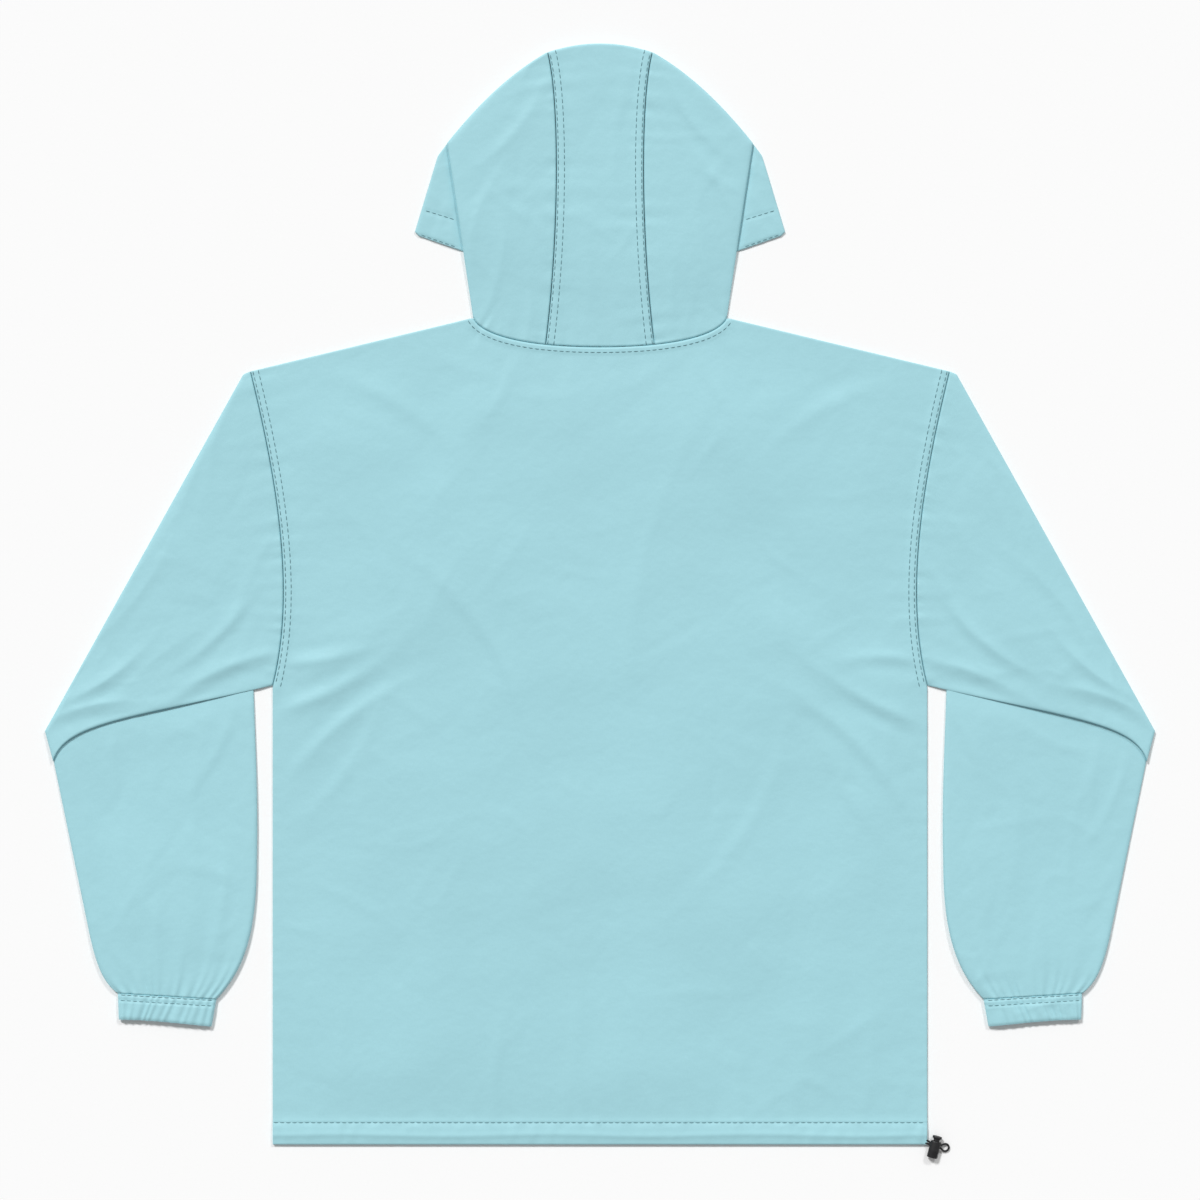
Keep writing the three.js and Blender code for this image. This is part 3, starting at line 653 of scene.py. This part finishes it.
def object_vector(tree, turn=0.0):
    place = add_node(tree, "ShaderNodeTexCoord", "Object", {})
    return add_node(tree, "ShaderNodeMapping", "Vector", {"Vector": place, "Rotation": (0, 0, turn)})


def cloth_material(name, grain):
    """Plain-weave nylon: fine threads both ways, soft crinkles, and a faint change of tone."""
    material, tree, shader = new_material(name)
    vector = object_vector(tree, grain)
    warp = band_node(tree, vector, "X", WARP_PERIOD)
    weft = band_node(tree, vector, "Y", WEFT_PERIOD)
    weave = math_node(tree, "MULTIPLY", warp, weft)
    cloudy = noise_node(tree, vector, 5.5, 3.0)
    slub = noise_node(tree, vector, 900, 2.0)
    crinkle = noise_node(tree, vector, 85, 5.0, 0.5)
    tone = math_node(tree, "ADD", range_node(tree, cloudy, 0.965, 1.035), range_node(tree, slub, -0.03, 0.03))
    tone = math_node(tree, "ADD", tone, range_node(tree, weave, -0.03, 0.03))
    crinkled = bump_node(tree, crinkle, 0.0009, 0.5)
    set_inputs(tree, shader, {
        "Base Color": tinted(tree, CLOTH_COLOUR, tone),
        "Roughness": range_node(tree, crinkle, 0.5, 0.66),
        "Sheen Weight": 0.05,
        "Sheen Roughness": 0.4,
        "Normal": bump_node(tree, weave, 0.00006, 0.5, crinkled),
    })
    return material


def thread_material():
    material, tree, shader = new_material("topstitch_thread")
    twist = band_node(tree, object_vector(tree), "DIAGONAL", 0.0006)
    set_inputs(tree, shader, {
        "Base Color": tinted(tree, THREAD_COLOUR, range_node(tree, twist, 0.8, 1.15)),
        "Roughness": 0.6,
        "Normal": bump_node(tree, twist, 0.0001, 0.5),
    })
    return material


def cord_material():
    material, tree, shader = new_material("braided_cord")
    vector = object_vector(tree)
    strands = band_node(tree, vector, "DIAGONAL", 0.0007), band_node(tree, vector, "X", 0.0006)
    braided = math_node(tree, "MULTIPLY", *strands)
    set_inputs(tree, shader, {
        "Base Color": tinted(tree, CORD_COLOUR, range_node(tree, braided, 0.6, 1.5)),
        "Roughness": 0.8,
        "Normal": bump_node(tree, braided, 0.0002, 0.7),
    })
    return material


def plastic_material():
    material, tree, shader = new_material("moulded_plastic")
    vector = object_vector(tree)
    grain = noise_node(tree, vector, 2600, 3.0)
    wear = noise_node(tree, vector, 240, 4.0)
    set_inputs(tree, shader, {
        "Base Color": tinted(tree, PLASTIC_COLOUR, range_node(tree, wear, 0.7, 1.6)),
        "Roughness": range_node(tree, wear, 0.3, 0.46),
        "Normal": bump_node(tree, grain, 0.00005, 0.4),
    })
    return material


def floor_material():
    material, tree, shader = new_material("pale_floor")
    grain = noise_node(tree, object_vector(tree), 420, 3.0)
    set_inputs(tree, shader, {
        "Base Color": tinted(tree, FLOOR_COLOUR, range_node(tree, grain, 0.99, 1.01)),
        "Roughness": 0.9,
        "Specular IOR Level": 0.2,
    })
    return material


body_cloth = cloth_material("nylon_body", 0.0)
sleeve_cloths = {side: cloth_material(f"nylon_sleeve_{label}", side * math.radians(29))
                 for side, label in SIDES}
hood_cloth = cloth_material("nylon_hood", math.radians(4))
thread = thread_material()
braid = cord_material()
plastic = plastic_material()


# Camera, light and floor
def add_camera():
    data = bpy.data.cameras.new("camera")
    data.sensor_width = SENSOR_WIDTH
    data.lens = SENSOR_WIDTH * CAMERA_HEIGHT / PHOTO_WIDTH
    camera = bpy.data.objects.new("camera", data)
    camera.location = (PHOTO_MIDDLE[0] * MM, PHOTO_MIDDLE[1] * MM, CAMERA_HEIGHT * MM)
    scene.collection.objects.link(camera)
    scene.camera = camera


def add_sun(name, strength, azimuth, elevation, softness):
    data = bpy.data.lights.new(name, "SUN")
    data.energy = strength
    data.angle = math.radians(softness)
    light = bpy.data.objects.new(name, data)
    a, e = math.radians(azimuth), math.radians(elevation)
    towards = Vector((math.cos(a) * math.cos(e), math.sin(a) * math.cos(e), math.sin(e)))
    light.rotation_mode = "QUATERNION"
    light.rotation_quaternion = towards.to_track_quat("Z", "Y")
    light.location = towards
    scene.collection.objects.link(light)


def add_floor():
    points = [(x * FLOOR_HALF, y * FLOOR_HALF, FLOOR_Z) for x, y in ((-1, -1), (1, -1), (1, 1), (-1, 1))]
    floor = mesh_object("floor", points, [(0, 1, 2, 3)], floor_material())


def add_sky():
    world = bpy.data.worlds.new("studio")
    world.use_nodes = True
    background = world.node_tree.nodes["Background"]
    background.inputs["Color"].default_value = (1, 1, 1, 1)
    background.inputs["Strength"].default_value = SKY_STRENGTH
    scene.world = world
    scene.view_settings.view_transform = "Standard"


add_camera()
for sun_name, sun in SUNS.items():
    add_sun(sun_name, *sun)
add_sky()
add_floor()


# Cord of the hem, on the route of its node, with both ends going on into the hem's casing
def lock_point(along, across, up):
    turn_cos, turn_sin = math.cos(LOCK_TURN), math.sin(LOCK_TURN)
    return (
        LOCK_HOLE[0] + along * turn_cos - across * turn_sin,
        LOCK_HOLE[1] + along * turn_sin + across * turn_cos,
        up,
    )


def add_cord():
    data = bpy.data.curves.new("hem_cord_loop", "CURVE")
    data.dimensions = "3D"
    data.bevel_depth = CORD_WIDTH / 2 * MM
    data.bevel_resolution = 5
    data.use_fill_caps = True
    spline = data.splines.new("BEZIER")
    places = [CORD_START, *CORD_ROUTE, CORD_END]
    spline.bezier_points.add(len(places) - 1)
    length, before = 0, None
    for knot, place in zip(spline.bezier_points, places):
        here = Vector(lock_point(*place)) * MM
        knot.co = here
        knot.handle_left_type = knot.handle_right_type = "AUTO"
        length += (here - before).length if before is not None else 0
        before = here
    data.materials.append(braid)
    cord = bpy.data.objects.new("hem_cord_loop", data)
    scene.collection.objects.link(cord)
    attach(cord, "garment")
    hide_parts("hem_cord")
    return cord, length


hem_cord, cord_length = add_cord()


# Borders of the panels
armhole = bezier(SHOULDER_TIP, (293, 90), (281, -5), (HALF_CHEST, ARMPIT_Y))
shoulder = line(NECK_SIDE, SHOULDER_TIP)
body_side = line((HALF_CHEST, HEM_Y), (HALF_CHEST, ARMPIT_Y))
tuck = bezier((HALF_CHEST, ARMPIT_Y), (430, -114), (492, -118), TUCK_END)
back_neck = bezier((0, BACK_NECK_Y), (62, BACK_NECK_Y), (108, 236), NECK_SIDE)
front_neck = bezier((0, FRONT_NECK_Y), (60, FRONT_NECK_Y), (110, 205), NECK_SIDE)
whole_neck = chain([backwards(mirrored(back_neck)), back_neck], [0.5])
centre_seam = bezier(back_neck(NECK_SEAM_SHARE), (37, 330), (37, 458), CROWN_SEAM)
cuff_seam = line(CUFF_TOP_OUTER, CUFF_TOP_INNER)
wing_row = line((160.4, 352.5), (134, 344.3))
wing_edge_row = line((164.6, 330.2), (131, 318.6))


def sided(curve, side):
    return curve if side > 0 else mirrored(curve)


def body_patch(neck):
    neck_share = (SHOULDER_TIP[0] - NECK_SIDE[0]) / (2 * SHOULDER_TIP[0])
    armpit_share = (ARMPIT_Y - HEM_Y) / (SHOULDER_TIP[1] - HEM_Y)
    neck_edge = beside(neck, -HALF_SLIT)
    top_edge = chain([backwards(mirrored(shoulder)), backwards(mirrored(neck_edge)), neck_edge, shoulder],
                     [neck_share, 0.5, 1 - neck_share])
    side_edge = chain([body_side, backwards(shifted(armhole, -HALF_SLIT))], [armpit_share])
    hem_edge = line((-HALF_CHEST, HEM_Y), (HALF_CHEST, HEM_Y))
    return coons(hem_edge, top_edge, mirrored(side_edge), side_edge)


def border_fade(grid, reach, names=("left", "right", "low", "high")):
    fade = 1.0
    for name in names:
        fade = fade * smooth(grid.borders[name][1] / reach)
    return fade


def finish_piece(obj, body, replaced=()):
    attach(obj, body)
    if replaced:
        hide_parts(*replaced)
    return obj


def merge_into(obj, points, faces):
    """Adds a closed form to a piece."""
    work = bmesh.new()
    work.from_mesh(obj.data)
    made = [work.verts.new([value * MM for value in point]) for point in points]
    for face in faces:
        corners = [made[i] for i in face]
        if len(set(corners)) > 2:
            work.faces.new(corners)
    bmesh.ops.remove_doubles(work, verts=made, dist=1e-6)
    for face in work.faces:
        face.smooth = True
    work.to_mesh(obj.data)
    work.free()


def hem_fold(grid, fade):
    """Height that the turned hem adds, fading out above it."""
    return HEM_FOLD * smooth((HEM_DEPTH + fade - grid.borders["low"][1]) / 6)


def hem_relief(x, y):
    """The casing stands up over the cord inside it, and its stitch row gathers the cloth."""
    casing = np.clip((y - HEM_Y) / HEM_DEPTH, 0, 1)
    distance = np.abs(y - HEM_STITCH_Y)
    place = x + HALF_CHEST
    inside = smooth((HEM_STITCH_Y - y) / 4)
    bulge = 0.8 * np.sin(math.pi * casing) * inside
    cord = 0.6 * gauss((y + 497.2 + 0.9 * np.sin(TAU * x / 190)) / 2.2)
    ribs = ripple(place, 2.2, (9.8, 14.7, 19.9)) * inside * np.sin(math.pi * casing) * 0.75
    row = -0.32 * (0.8 + 0.2 * np.cos(TAU * place / STITCH_PERIOD)) * gauss(distance / 1.0)
    return bulge + cord + ribs + row + (1 - inside) * puckers(distance, place, 9.7, 0.5)


def back_piece():
    grid = Grid(body_patch(back_neck), BODY_CELL, ("turned", "turned"), ("hem", "turned"))
    x, y = grid.x, grid.y
    hem = hem_fold(grid, 6)
    top = BACK_TOP + 1.5 * hem + grid.mask(0.1) * (BACK_RISE + ridge_rows(x, y, BODY_FOLDS, 2))
    detail = creases(x, y, BODY_CREASES) + crumple(x, y, (-290, 290, -480, 220), 150, 11)
    top = top + detail * border_fade(grid, 26) + drift(x, y, 0.7) * border_fade(grid, 60)
    top = top + crumple(x, y, (-300, 300, -500, 240), 90, 12) * border_fade(grid, 9) * 0.6
    for side, _ in SIDES:
        top = top + seam_relief(x, y, sided(armhole, side), ARMHOLE_SEED + side, ARMHOLE_BAND, ARMHOLE_ROWS,
                                groove=TURNED_GROOVE)
        top = top + puckers(*along_seam(x, y, sided(body_side, side)), 8.3 + side, 0.28)
        top = top + puckers(*along_seam(x, y, sided(shoulder, side)), 5.2 + side, 0.25)
    top = top + seam_relief(x, y, whole_neck, NECK_SEED, NECK_BAND, NECK_ROWS, groove=TURNED_GROOVE)
    top = top + hem_relief(x, y)
    # the lower layer is only the cloth that is turned in at the edges and in the hem
    edge = np.minimum.reduce([distance for _, distance in grid.borders.values()])
    turned_in = (edge < 9) | (grid.borders["low"][1] < HEM_DEPTH - 1)
    points, faces = shell(grid, top, BACK_BOTTOM - 0.1 + hem, fold_round=BACK_ROUND, kept=turned_in,
                          surface="back")
    return finish_piece(cloth_object("back_cloth", points, faces, body_cloth), "garment", ["back_panel"])


def front_piece():
    grid = Grid(body_patch(front_neck), FRONT_CELL, ("fold", "fold"), ("turned", "fold"))
    points, faces = shell(grid, FRONT_TOP + hem_fold(grid, 4), 0, fold_round=FRONT_ROUND)
    return finish_piece(mesh_object("front_cloth", points, faces, body_cloth), "garment", ["front_panel"])


def gather_wave(share, count, seed):
    """Uneven gathers, from 0 on a crest to 1 in a trough."""
    bent = share + 0.016 * np.sin(TAU * 2.3 * share + seed) + 0.01 * np.sin(TAU * 5.1 * share + 2 * seed)
    depth = 0.75 + 0.25 * np.sin(TAU * 3.3 * share + 3 * seed)
    return depth * (0.5 - 0.5 * np.cos(TAU * count * bent))


def upper_sleeve(side):
    corner = 0.02
    patch = coons(
        shifted(armhole, HALF_SLIT),
        line(ELBOW_TIP, TUCK_END),
        chain([line((SHOULDER_TIP[0] + HALF_SLIT, SHOULDER_TIP[1]), SLEEVE_CORNER),
               line(SLEEVE_CORNER, ELBOW_TIP)], [corner]),
        shifted(tuck, HALF_SLIT),
    )
    grid = Grid(patch, CELL, ("fold", "fold"), ("seam", "fold"), side)
    x, y, s, k = grid.x * side, grid.y, grid.s, grid.k
    top = BACK_TOP + SLEEVE_RISE * smooth(k / 0.35) * (0.45 + 0.55 * s)
    top = top + ridge_rows(x, y, SLEEVE_FOLDS, 2) * grid.mask(0.2)
    detail = creases(x, y, UPPER_CREASES[side]) + crumple(x, y, (300, 500, -140, 200), 60, 21 + side)
    top = top + detail * border_fade(grid, 8) + drift(x, y, 1.9 + side) * border_fade(grid, 45)
    top = top + seam_relief(x, y, armhole, ARMHOLE_SEED + side)
    top = top + puckers(*along_seam(x, y, tuck), 6.6 + side, 0.18)
    tucked = smooth((16 - grid.borders["right"][1]) / 3) * smooth(grid.borders["high"][1] / 12)
    tucked = tucked * smooth(grid.borders["low"][1] / 14)
    bottom = np.clip(top - 1.1, UNDERSIDE, UNDERSIDE + TUCK_LIFT * tucked)
    return shell(grid, top, bottom, reach=1.8)


def forearm(side):
    end = shifted(cuff_seam, 0, HALF_SLIT)
    outer_turn = bezier(OUTER_BEND, (463, -343), (456, -358), end(0))
    inner_turn = bezier(INNER_BEND, (315.5, -310), (326, -345), end(1))
    inner_edge = bezier(INNER_START, (317, -140), (314, -190), INNER_BEND)
    patch = coons(
        line(*FOREARM_HIDDEN),
        end,
        chain([line(FOREARM_HIDDEN[0], TUCK_END), line(TUCK_END, OUTER_BEND), outer_turn], [0.13, 0.72]),
        chain([line(FOREARM_HIDDEN[1], INNER_START), inner_edge, inner_turn], [0.08, 0.58]),
    )
    grid = Grid(patch, CELL, ("fold", "fold"), ("plain", "seam"), side)
    x, y, s, k = grid.x * side, grid.y, grid.s, grid.k
    top = FOREARM_START_TOP + (FOREARM_END_TOP - FOREARM_START_TOP) * smooth((k - 0.1) / 0.9)
    top = top - (0.3 + 1.0 * smooth(s / 0.9)) * (1 - smooth((k - 0.04) / 0.1))
    top = top + ridge_rows(x, y, SLEEVE_FOLDS, 2) * grid.mask(0.15)
    detail = creases(x, y, FOREARM_CREASES[side]) + crumple(x, y, (310, 500, -370, -100), 45, 31 + side)
    fade = border_fade(grid, 8, ("left", "right", "high")) * border_fade(grid, 40, ("low",))
    top = top + detail * fade + drift(x, y, 4.9 + side) * border_fade(grid, 40)
    near_cuff = smooth((k - 0.74) / 0.26)
    top = top - 1.3 * near_cuff ** 1.5 * gather_wave(s, CUFF_GATHERS, 1.3 + side)
    top = top - 0.9 * smooth((k - 0.5) / 0.4) * (1 - near_cuff) * gather_wave(s, 5, 0.4 - side)
    top = top + seam_relief(x, y, cuff_seam, CUFF_SEED + side)
    return shell(grid, top, 0.12)


def sleeve_piece(side, label):
    points, faces = joined([upper_sleeve(side), forearm(side)])
    obj = cloth_object(f"sleeve_cloth_{label}", points, faces, sleeve_cloths[side])
    return finish_piece(obj, "garment", [f"sleeve_{label}"])


def cuff_piece(side, label):
    start = shifted(cuff_seam, 0, -HALF_SLIT)
    patch = coons(start, bezier(CUFF_END_OUTER, (424, -390.6), (398, -393), CUFF_END_INNER),
                  line(start(0), CUFF_END_OUTER), line(start(1), CUFF_END_INNER))
    grid = Grid(patch, CUFF_CELL, ("fold", "fold"), ("seam", "open"), side)
    x, y = grid.x * side, grid.y
    from_end = grid.borders["high"][1]
    from_seam, _ = along_seam(x, y, cuff_seam)
    top = CUFF_TOP - 1.15 * gather_wave(grid.s, CUFF_GATHERS, 1.3 + side)
    top = top + 0.5 * smooth((from_seam - 5) / 2) * smooth((from_end - 0.5) / 2.5)
    top = top + crumple(x, y, (350, 445, -400, -365), 30, 41 + side) * 0.7
    for row in CUFF_ROWS:
        top = top - 0.5 * gauss((from_seam - row) / 0.9)
    top = top - 0.5 * (1 - smooth(from_end / 1.3))
    points, faces = shell(grid, top, UNDERSIDE, surface=f"cuff{side}")
    obj = cloth_object(f"cuff_cloth_{label}", points, faces, sleeve_cloths[side], CUFF_WALL)
    return finish_piece(obj, "garment", [f"cuff_{label}"])


# Hood
def hood_top(x, y):
    from_neck = smooth((y - BACK_NECK_Y - 0.0022 * x * x) / 90)
    towards_crown = smooth((CROWN_Y - y) / 260)
    return BACK_TOP + HOOD_RISE * from_neck * (0.75 + 0.25 * towards_crown)


def hood_detail(grid, seed):
    x, y = grid.x, grid.y
    detail = creases(x, y, HOOD_CREASES) + crumple(x, y, (-140, 140, 240, 500), 50, seed)
    names = [name for name, (kind, _) in grid.borders.items() if kind == "fold"]
    fade = border_fade(grid, 10, names)
    return (detail + 0.6 * drift(x, y, 2.3)) * fade


def open_face(obj):
    """Cuts the face opening out of the hood's lower layer."""
    upper = bezier((0, 293), (60, 293), (95, 300), (106, 306))(np.linspace(0, 1, 15))
    lower = bezier((106, 306), (110, 298), (84, 240), (24, FRONT_NECK_Y - 6))(np.linspace(0, 1, 19))[1:]
    right = np.concatenate([upper, lower])
    left = right[1:][::-1] * [-1, 1]
    cut_away(obj, [tuple(point) for point in np.concatenate([right, left])], -1, 1.25)


def hood_centre_piece():
    side_curve = beside(part_of(back_neck, 0, NECK_SEAM_SHARE), HALF_SLIT)

    def neck_middle(t):
        t = np.asarray(t, float)
        sign = np.where(t < 0.5, -1.0, 1.0)
        return side_curve(np.abs(2 * t - 1)) * np.stack([sign, np.ones_like(sign)], -1)

    def crown(t):
        across = 2 * np.asarray(t, float) - 1
        return np.stack([CROWN_SEAM[0] * across,
                         CROWN_Y - (CROWN_Y - CROWN_SEAM[1]) * across ** 2], -1)

    right_seam = shifted(centre_seam, -HALF_SLIT)
    grid = Grid(coons(neck_middle, crown, mirrored(right_seam), right_seam), CELL,
                ("seam", "seam"), ("seam", "fold"))
    top = hood_top(grid.x, grid.y) + hood_detail(grid, 51)
    for side, _ in SIDES:
        top = top + seam_relief(grid.x, grid.y, sided(centre_seam, side), HOOD_SEED + side,
                                HOOD_BAND, HOOD_ROWS)
    top = top + seam_relief(grid.x, grid.y, whole_neck, NECK_SEED)
    points, faces = shell(grid, top, UNDERSIDE, surface="hood_centre")
    obj = cloth_object("hood_centre_cloth", points, faces, hood_cloth)
    open_face(obj)
    return finish_piece(obj, "garment", ["hood_centre"])


def wing(side):
    """The turned face edge, which stands out beside the hood's fold."""
    hidden_low, hidden_high = (95, 304), (118, 425)
    patch = coons(
        chain([line(hidden_low, WING_INNER), line(WING_INNER, WING_TURN), line(WING_TURN, WING_TIP)],
              [0.43, 0.95]),
        line(hidden_high, CROWN_SIDE),
        line(hidden_low, hidden_high),
        chain([line(WING_TIP, WING_TOP), line(WING_TOP, CROWN_SIDE)], [0.83]),
    )
    grid = Grid(patch, WING_CELL, ("fold", "fold"), ("fold", "fold"), side)
    x, y = grid.x * side, grid.y
    top = WING_WALL + crumple(x, y, (120, 170, 310, 410), 24, 61 + side) * 0.7
    from_hood, _ = along_seam(x, y, line(NECK_SIDE, CROWN_SIDE))
    top = top - 1.1 * gauss(from_hood / 3.5)
    for row, seed in ((wing_row, 2.1), (wing_edge_row, 5.3)):
        distance, place = along_seam(x, y, row)
        top = top - 0.5 * gauss(distance / 0.9) + puckers(distance, place, seed + side, 0.26)
    return shell(grid, top, UNDERSIDE, fold_round=WING_ROUND, surface=f"wing{side}")


def flap(side):
    """The lower front of the hood, beside the face opening."""
    low, high, outer_high = (27, 167.3), (106, 306), (119, 292)
    outer = chain([part_of(beside(front_neck, HALF_SLIT), 0.155, 1), line(NECK_SIDE, outer_high)], [0.72])
    inner = bezier(low, (84, 240), (110, 298), high)
    patch = coons(inner, outer, line(low, outer(0)), line(high, outer_high))
    grid = Grid(patch, FLAP_CELL, ("fold", "fold"), ("fold", "fold"), side)
    return shell(grid, 1.05, 0.15, fold_round=FLAP_ROUND)


def hood_side_piece(side, label):
    neck_start = beside(part_of(back_neck, NECK_SEAM_SHARE, 1), HALF_SLIT)
    patch = coons(neck_start, bezier(CROWN_SEAM, (75, 483), (105, 459), CROWN_SIDE),
                  shifted(centre_seam, HALF_SLIT), line(neck_start(1), CROWN_SIDE))
    grid = Grid(patch, CELL, ("seam", "fold"), ("seam", "fold"), side)
    top = hood_top(grid.x, grid.y) + hood_detail(grid, 55 + side)
    top = top + seam_relief(grid.x, grid.y, sided(centre_seam, side), HOOD_SEED + side)
    top = top + seam_relief(grid.x, grid.y, whole_neck, NECK_SEED)
    points, faces = shell(grid, top, UNDERSIDE, {"right": 0.72})
    obj = cloth_object(f"hood_side_cloth_{label}", points, faces, hood_cloth)
    open_face(obj)
    merge_into(obj, *wing(side))
    merge_into(obj, *flap(side))
    return finish_piece(obj, "garment", [f"hood_side_{label}"])


def ring_faces(rings, sides, flipped=False):
    """Faces of a closed form through rings of points, each ring with the same number of sides."""
    faces = []
    for step in range(rings - 1):
        for index in range(sides):
            a, b = step * sides + index, step * sides + (index + 1) % sides
            faces.append((a, b, b + sides, a + sides))
    faces.append(tuple(range(sides))[::-1])
    faces.append(tuple(range((rings - 1) * sides, rings * sides)))
    return [(face[0], *face[:0:-1]) for face in faces] if flipped else faces


def one_stitch(surface, x, y, sides=7):
    """A short thread that lies on the cloth and dips in at both ends, or None beyond the cloth's edge."""
    heights = [height_on(surface, *place) for place in zip(x, y)]
    if None in heights:
        return None
    arch = np.sin(math.pi * np.linspace(0, 1, len(x)))
    centre = np.stack([x, y, np.array(heights) + 0.3 * arch - 0.12], -1)
    run = np.gradient(centre, axis=0)
    run /= np.linalg.norm(run, axis=1, keepdims=True)
    across = np.cross(run, [0, 0, 1])
    across /= np.linalg.norm(across, axis=1, keepdims=True)
    up = np.cross(across, run)
    width = THREAD_WIDTH / 2 * (0.62 + 0.38 * arch)[:, None]
    ring = [centre + width * (math.cos(turn) * across + math.sin(turn) * up)
            for turn in np.linspace(0, TAU, sides, endpoint=False)]
    return np.stack(ring, 1).reshape(-1, 3), ring_faces(len(x), sides)


def stitches(name, rows):
    """Threads one after another along each row of a surface."""
    made = []
    for surface, curve in rows:
        knots = curve(np.linspace(0, 1, 400))
        walked = np.concatenate([[0], np.cumsum(np.hypot(*np.diff(knots, axis=0).T))])
        start = 0.4
        while start + STITCH_LENGTH < walked[-1]:
            places = start + np.linspace(0, 1, 5) * STITCH_LENGTH
            made.append(one_stitch(surface, *(np.interp(places, walked, values) for values in knots.T)))
            start += STITCH_PERIOD
    points, faces = joined([stitch for stitch in made if stitch])
    return finish_piece(mesh_object(name, points, faces, thread, weld=False), "garment")


# Cord lock
def lock_piece(name, rings, slot_span, body, node, sides=56):
    """A form through oval rings, each a place along the axis, a half width and a half height."""
    turns = np.linspace(0, TAU, sides, endpoint=False)
    points = [(a * math.cos(t), place, b * math.sin(t)) for place, a, b in rings for t in turns]
    obj = mesh_object(name, points, ring_faces(len(rings), sides, flipped=True), plastic)
    low, high = slot_span
    cut_away(obj, [(-9, low), (9, low), (9, high), (-9, high)], -1.3, 1.3)
    for vertex in obj.data.vertices:
        x, y, z = vertex.co / MM
        vertex.co = Vector(lock_point(x, y, LOCK_HEIGHT + z)) * MM
    obj.data.set_sharp_from_angle(angle=math.radians(38))
    return finish_piece(obj, body, [node])


def shrunk(place, half, inset):
    return (place, half[0] - inset, half[1] - inset)


def barrel_rings():
    outer, bore = (5.0, 3.7), (3.15, 2.35)
    rings = [shrunk(place, outer, inset) for place, inset in
             ((-12, 1.1), (-11.93, 0.7), (-11.7, 0.32), (-11.3, 0.08), (-10.8, 0))]
    for groove in (-9.9, -8.6, -7.3, -6.0):
        rings += [shrunk(groove + step, outer, inset) for step, inset in
                  ((-0.32, 0), (-0.18, 0.22), (0.18, 0.22), (0.32, 0))]
    rings += [shrunk(place, outer, inset) for place, inset in
              ((2.8, 0), (3.25, 0.06), (3.55, 0.26), (3.7, 0.6))]
    rings += [(3.7, bore[0] + 0.25, bore[1] + 0.25), (3.45, *bore), (-10, *bore)]
    return rings


def plunger_rings():
    stem, head = (3.0, 2.2), (4.4, 3.3)
    rings = [shrunk(-7.4, stem, 0.3), shrunk(-7.1, stem, 0), shrunk(6.2, stem, 0)]
    rings += [shrunk(place, head, inset) for place, inset in
              ((6.2, 0.5), (6.32, 0.18), (6.6, 0), (8.0, 0), (8.35, 0.15), (8.54, 0.42), (8.6, 0.8))]
    for groove in (1.3, 2.0, 2.7):
        rings += [shrunk(place, head, groove + step) for place, step in
                  ((8.6, 0), (8.42, 0.12), (8.42, 0.4), (8.6, 0.5))]
    return rings


back = back_piece()
front = front_piece()
hood_centre = hood_centre_piece()
sleeves, cuffs, hood_sides, threads = {}, {}, {}, {}
for side, label in SIDES:
    sleeves[label] = sleeve_piece(side, label)
    cuffs[label] = cuff_piece(side, label)
    hood_sides[label] = hood_side_piece(side, label)
    # beside() measures to the left of a curve's run, and the armhole runs down
    rows = {
        "armhole": [("back", beside(sided(armhole, side), -side * row)) for row in ARMHOLE_ROWS],
        "hood_seam": [("hood_centre", beside(sided(centre_seam, side), side * row)) for row in HOOD_ROWS],
        "wing": [(f"wing{side}", sided(row, side)) for row in (wing_row, wing_edge_row)],
        "cuff": [(f"cuff{side}", sided(beside(part_of(cuff_seam, 0.03, 0.967), row), side))
                 for row in CUFF_ROWS],
    }
    for seam, seam_rows in rows.items():
        threads[f"{seam}_{label}"] = stitches(f"{seam}_stitches_{label}", seam_rows)
threads["neck"] = stitches("neck_stitches", [("back", beside(whole_neck, -row)) for row in NECK_ROWS])
hem_row = line((-HALF_CHEST + 0.6, HEM_STITCH_Y), (HALF_CHEST - 0.6, HEM_STITCH_Y))
threads["hem"] = stitches("hem_stitches", [("back", hem_row)])

barrel = lock_piece("lock_barrel_moulding", barrel_rings(), (-4.6, 2.25), "garment", "cord_lock_barrel")
plunger = lock_piece("lock_plunger_moulding", plunger_rings(), (-2.25, 4.9), "plunger", "cord_lock_plunger")
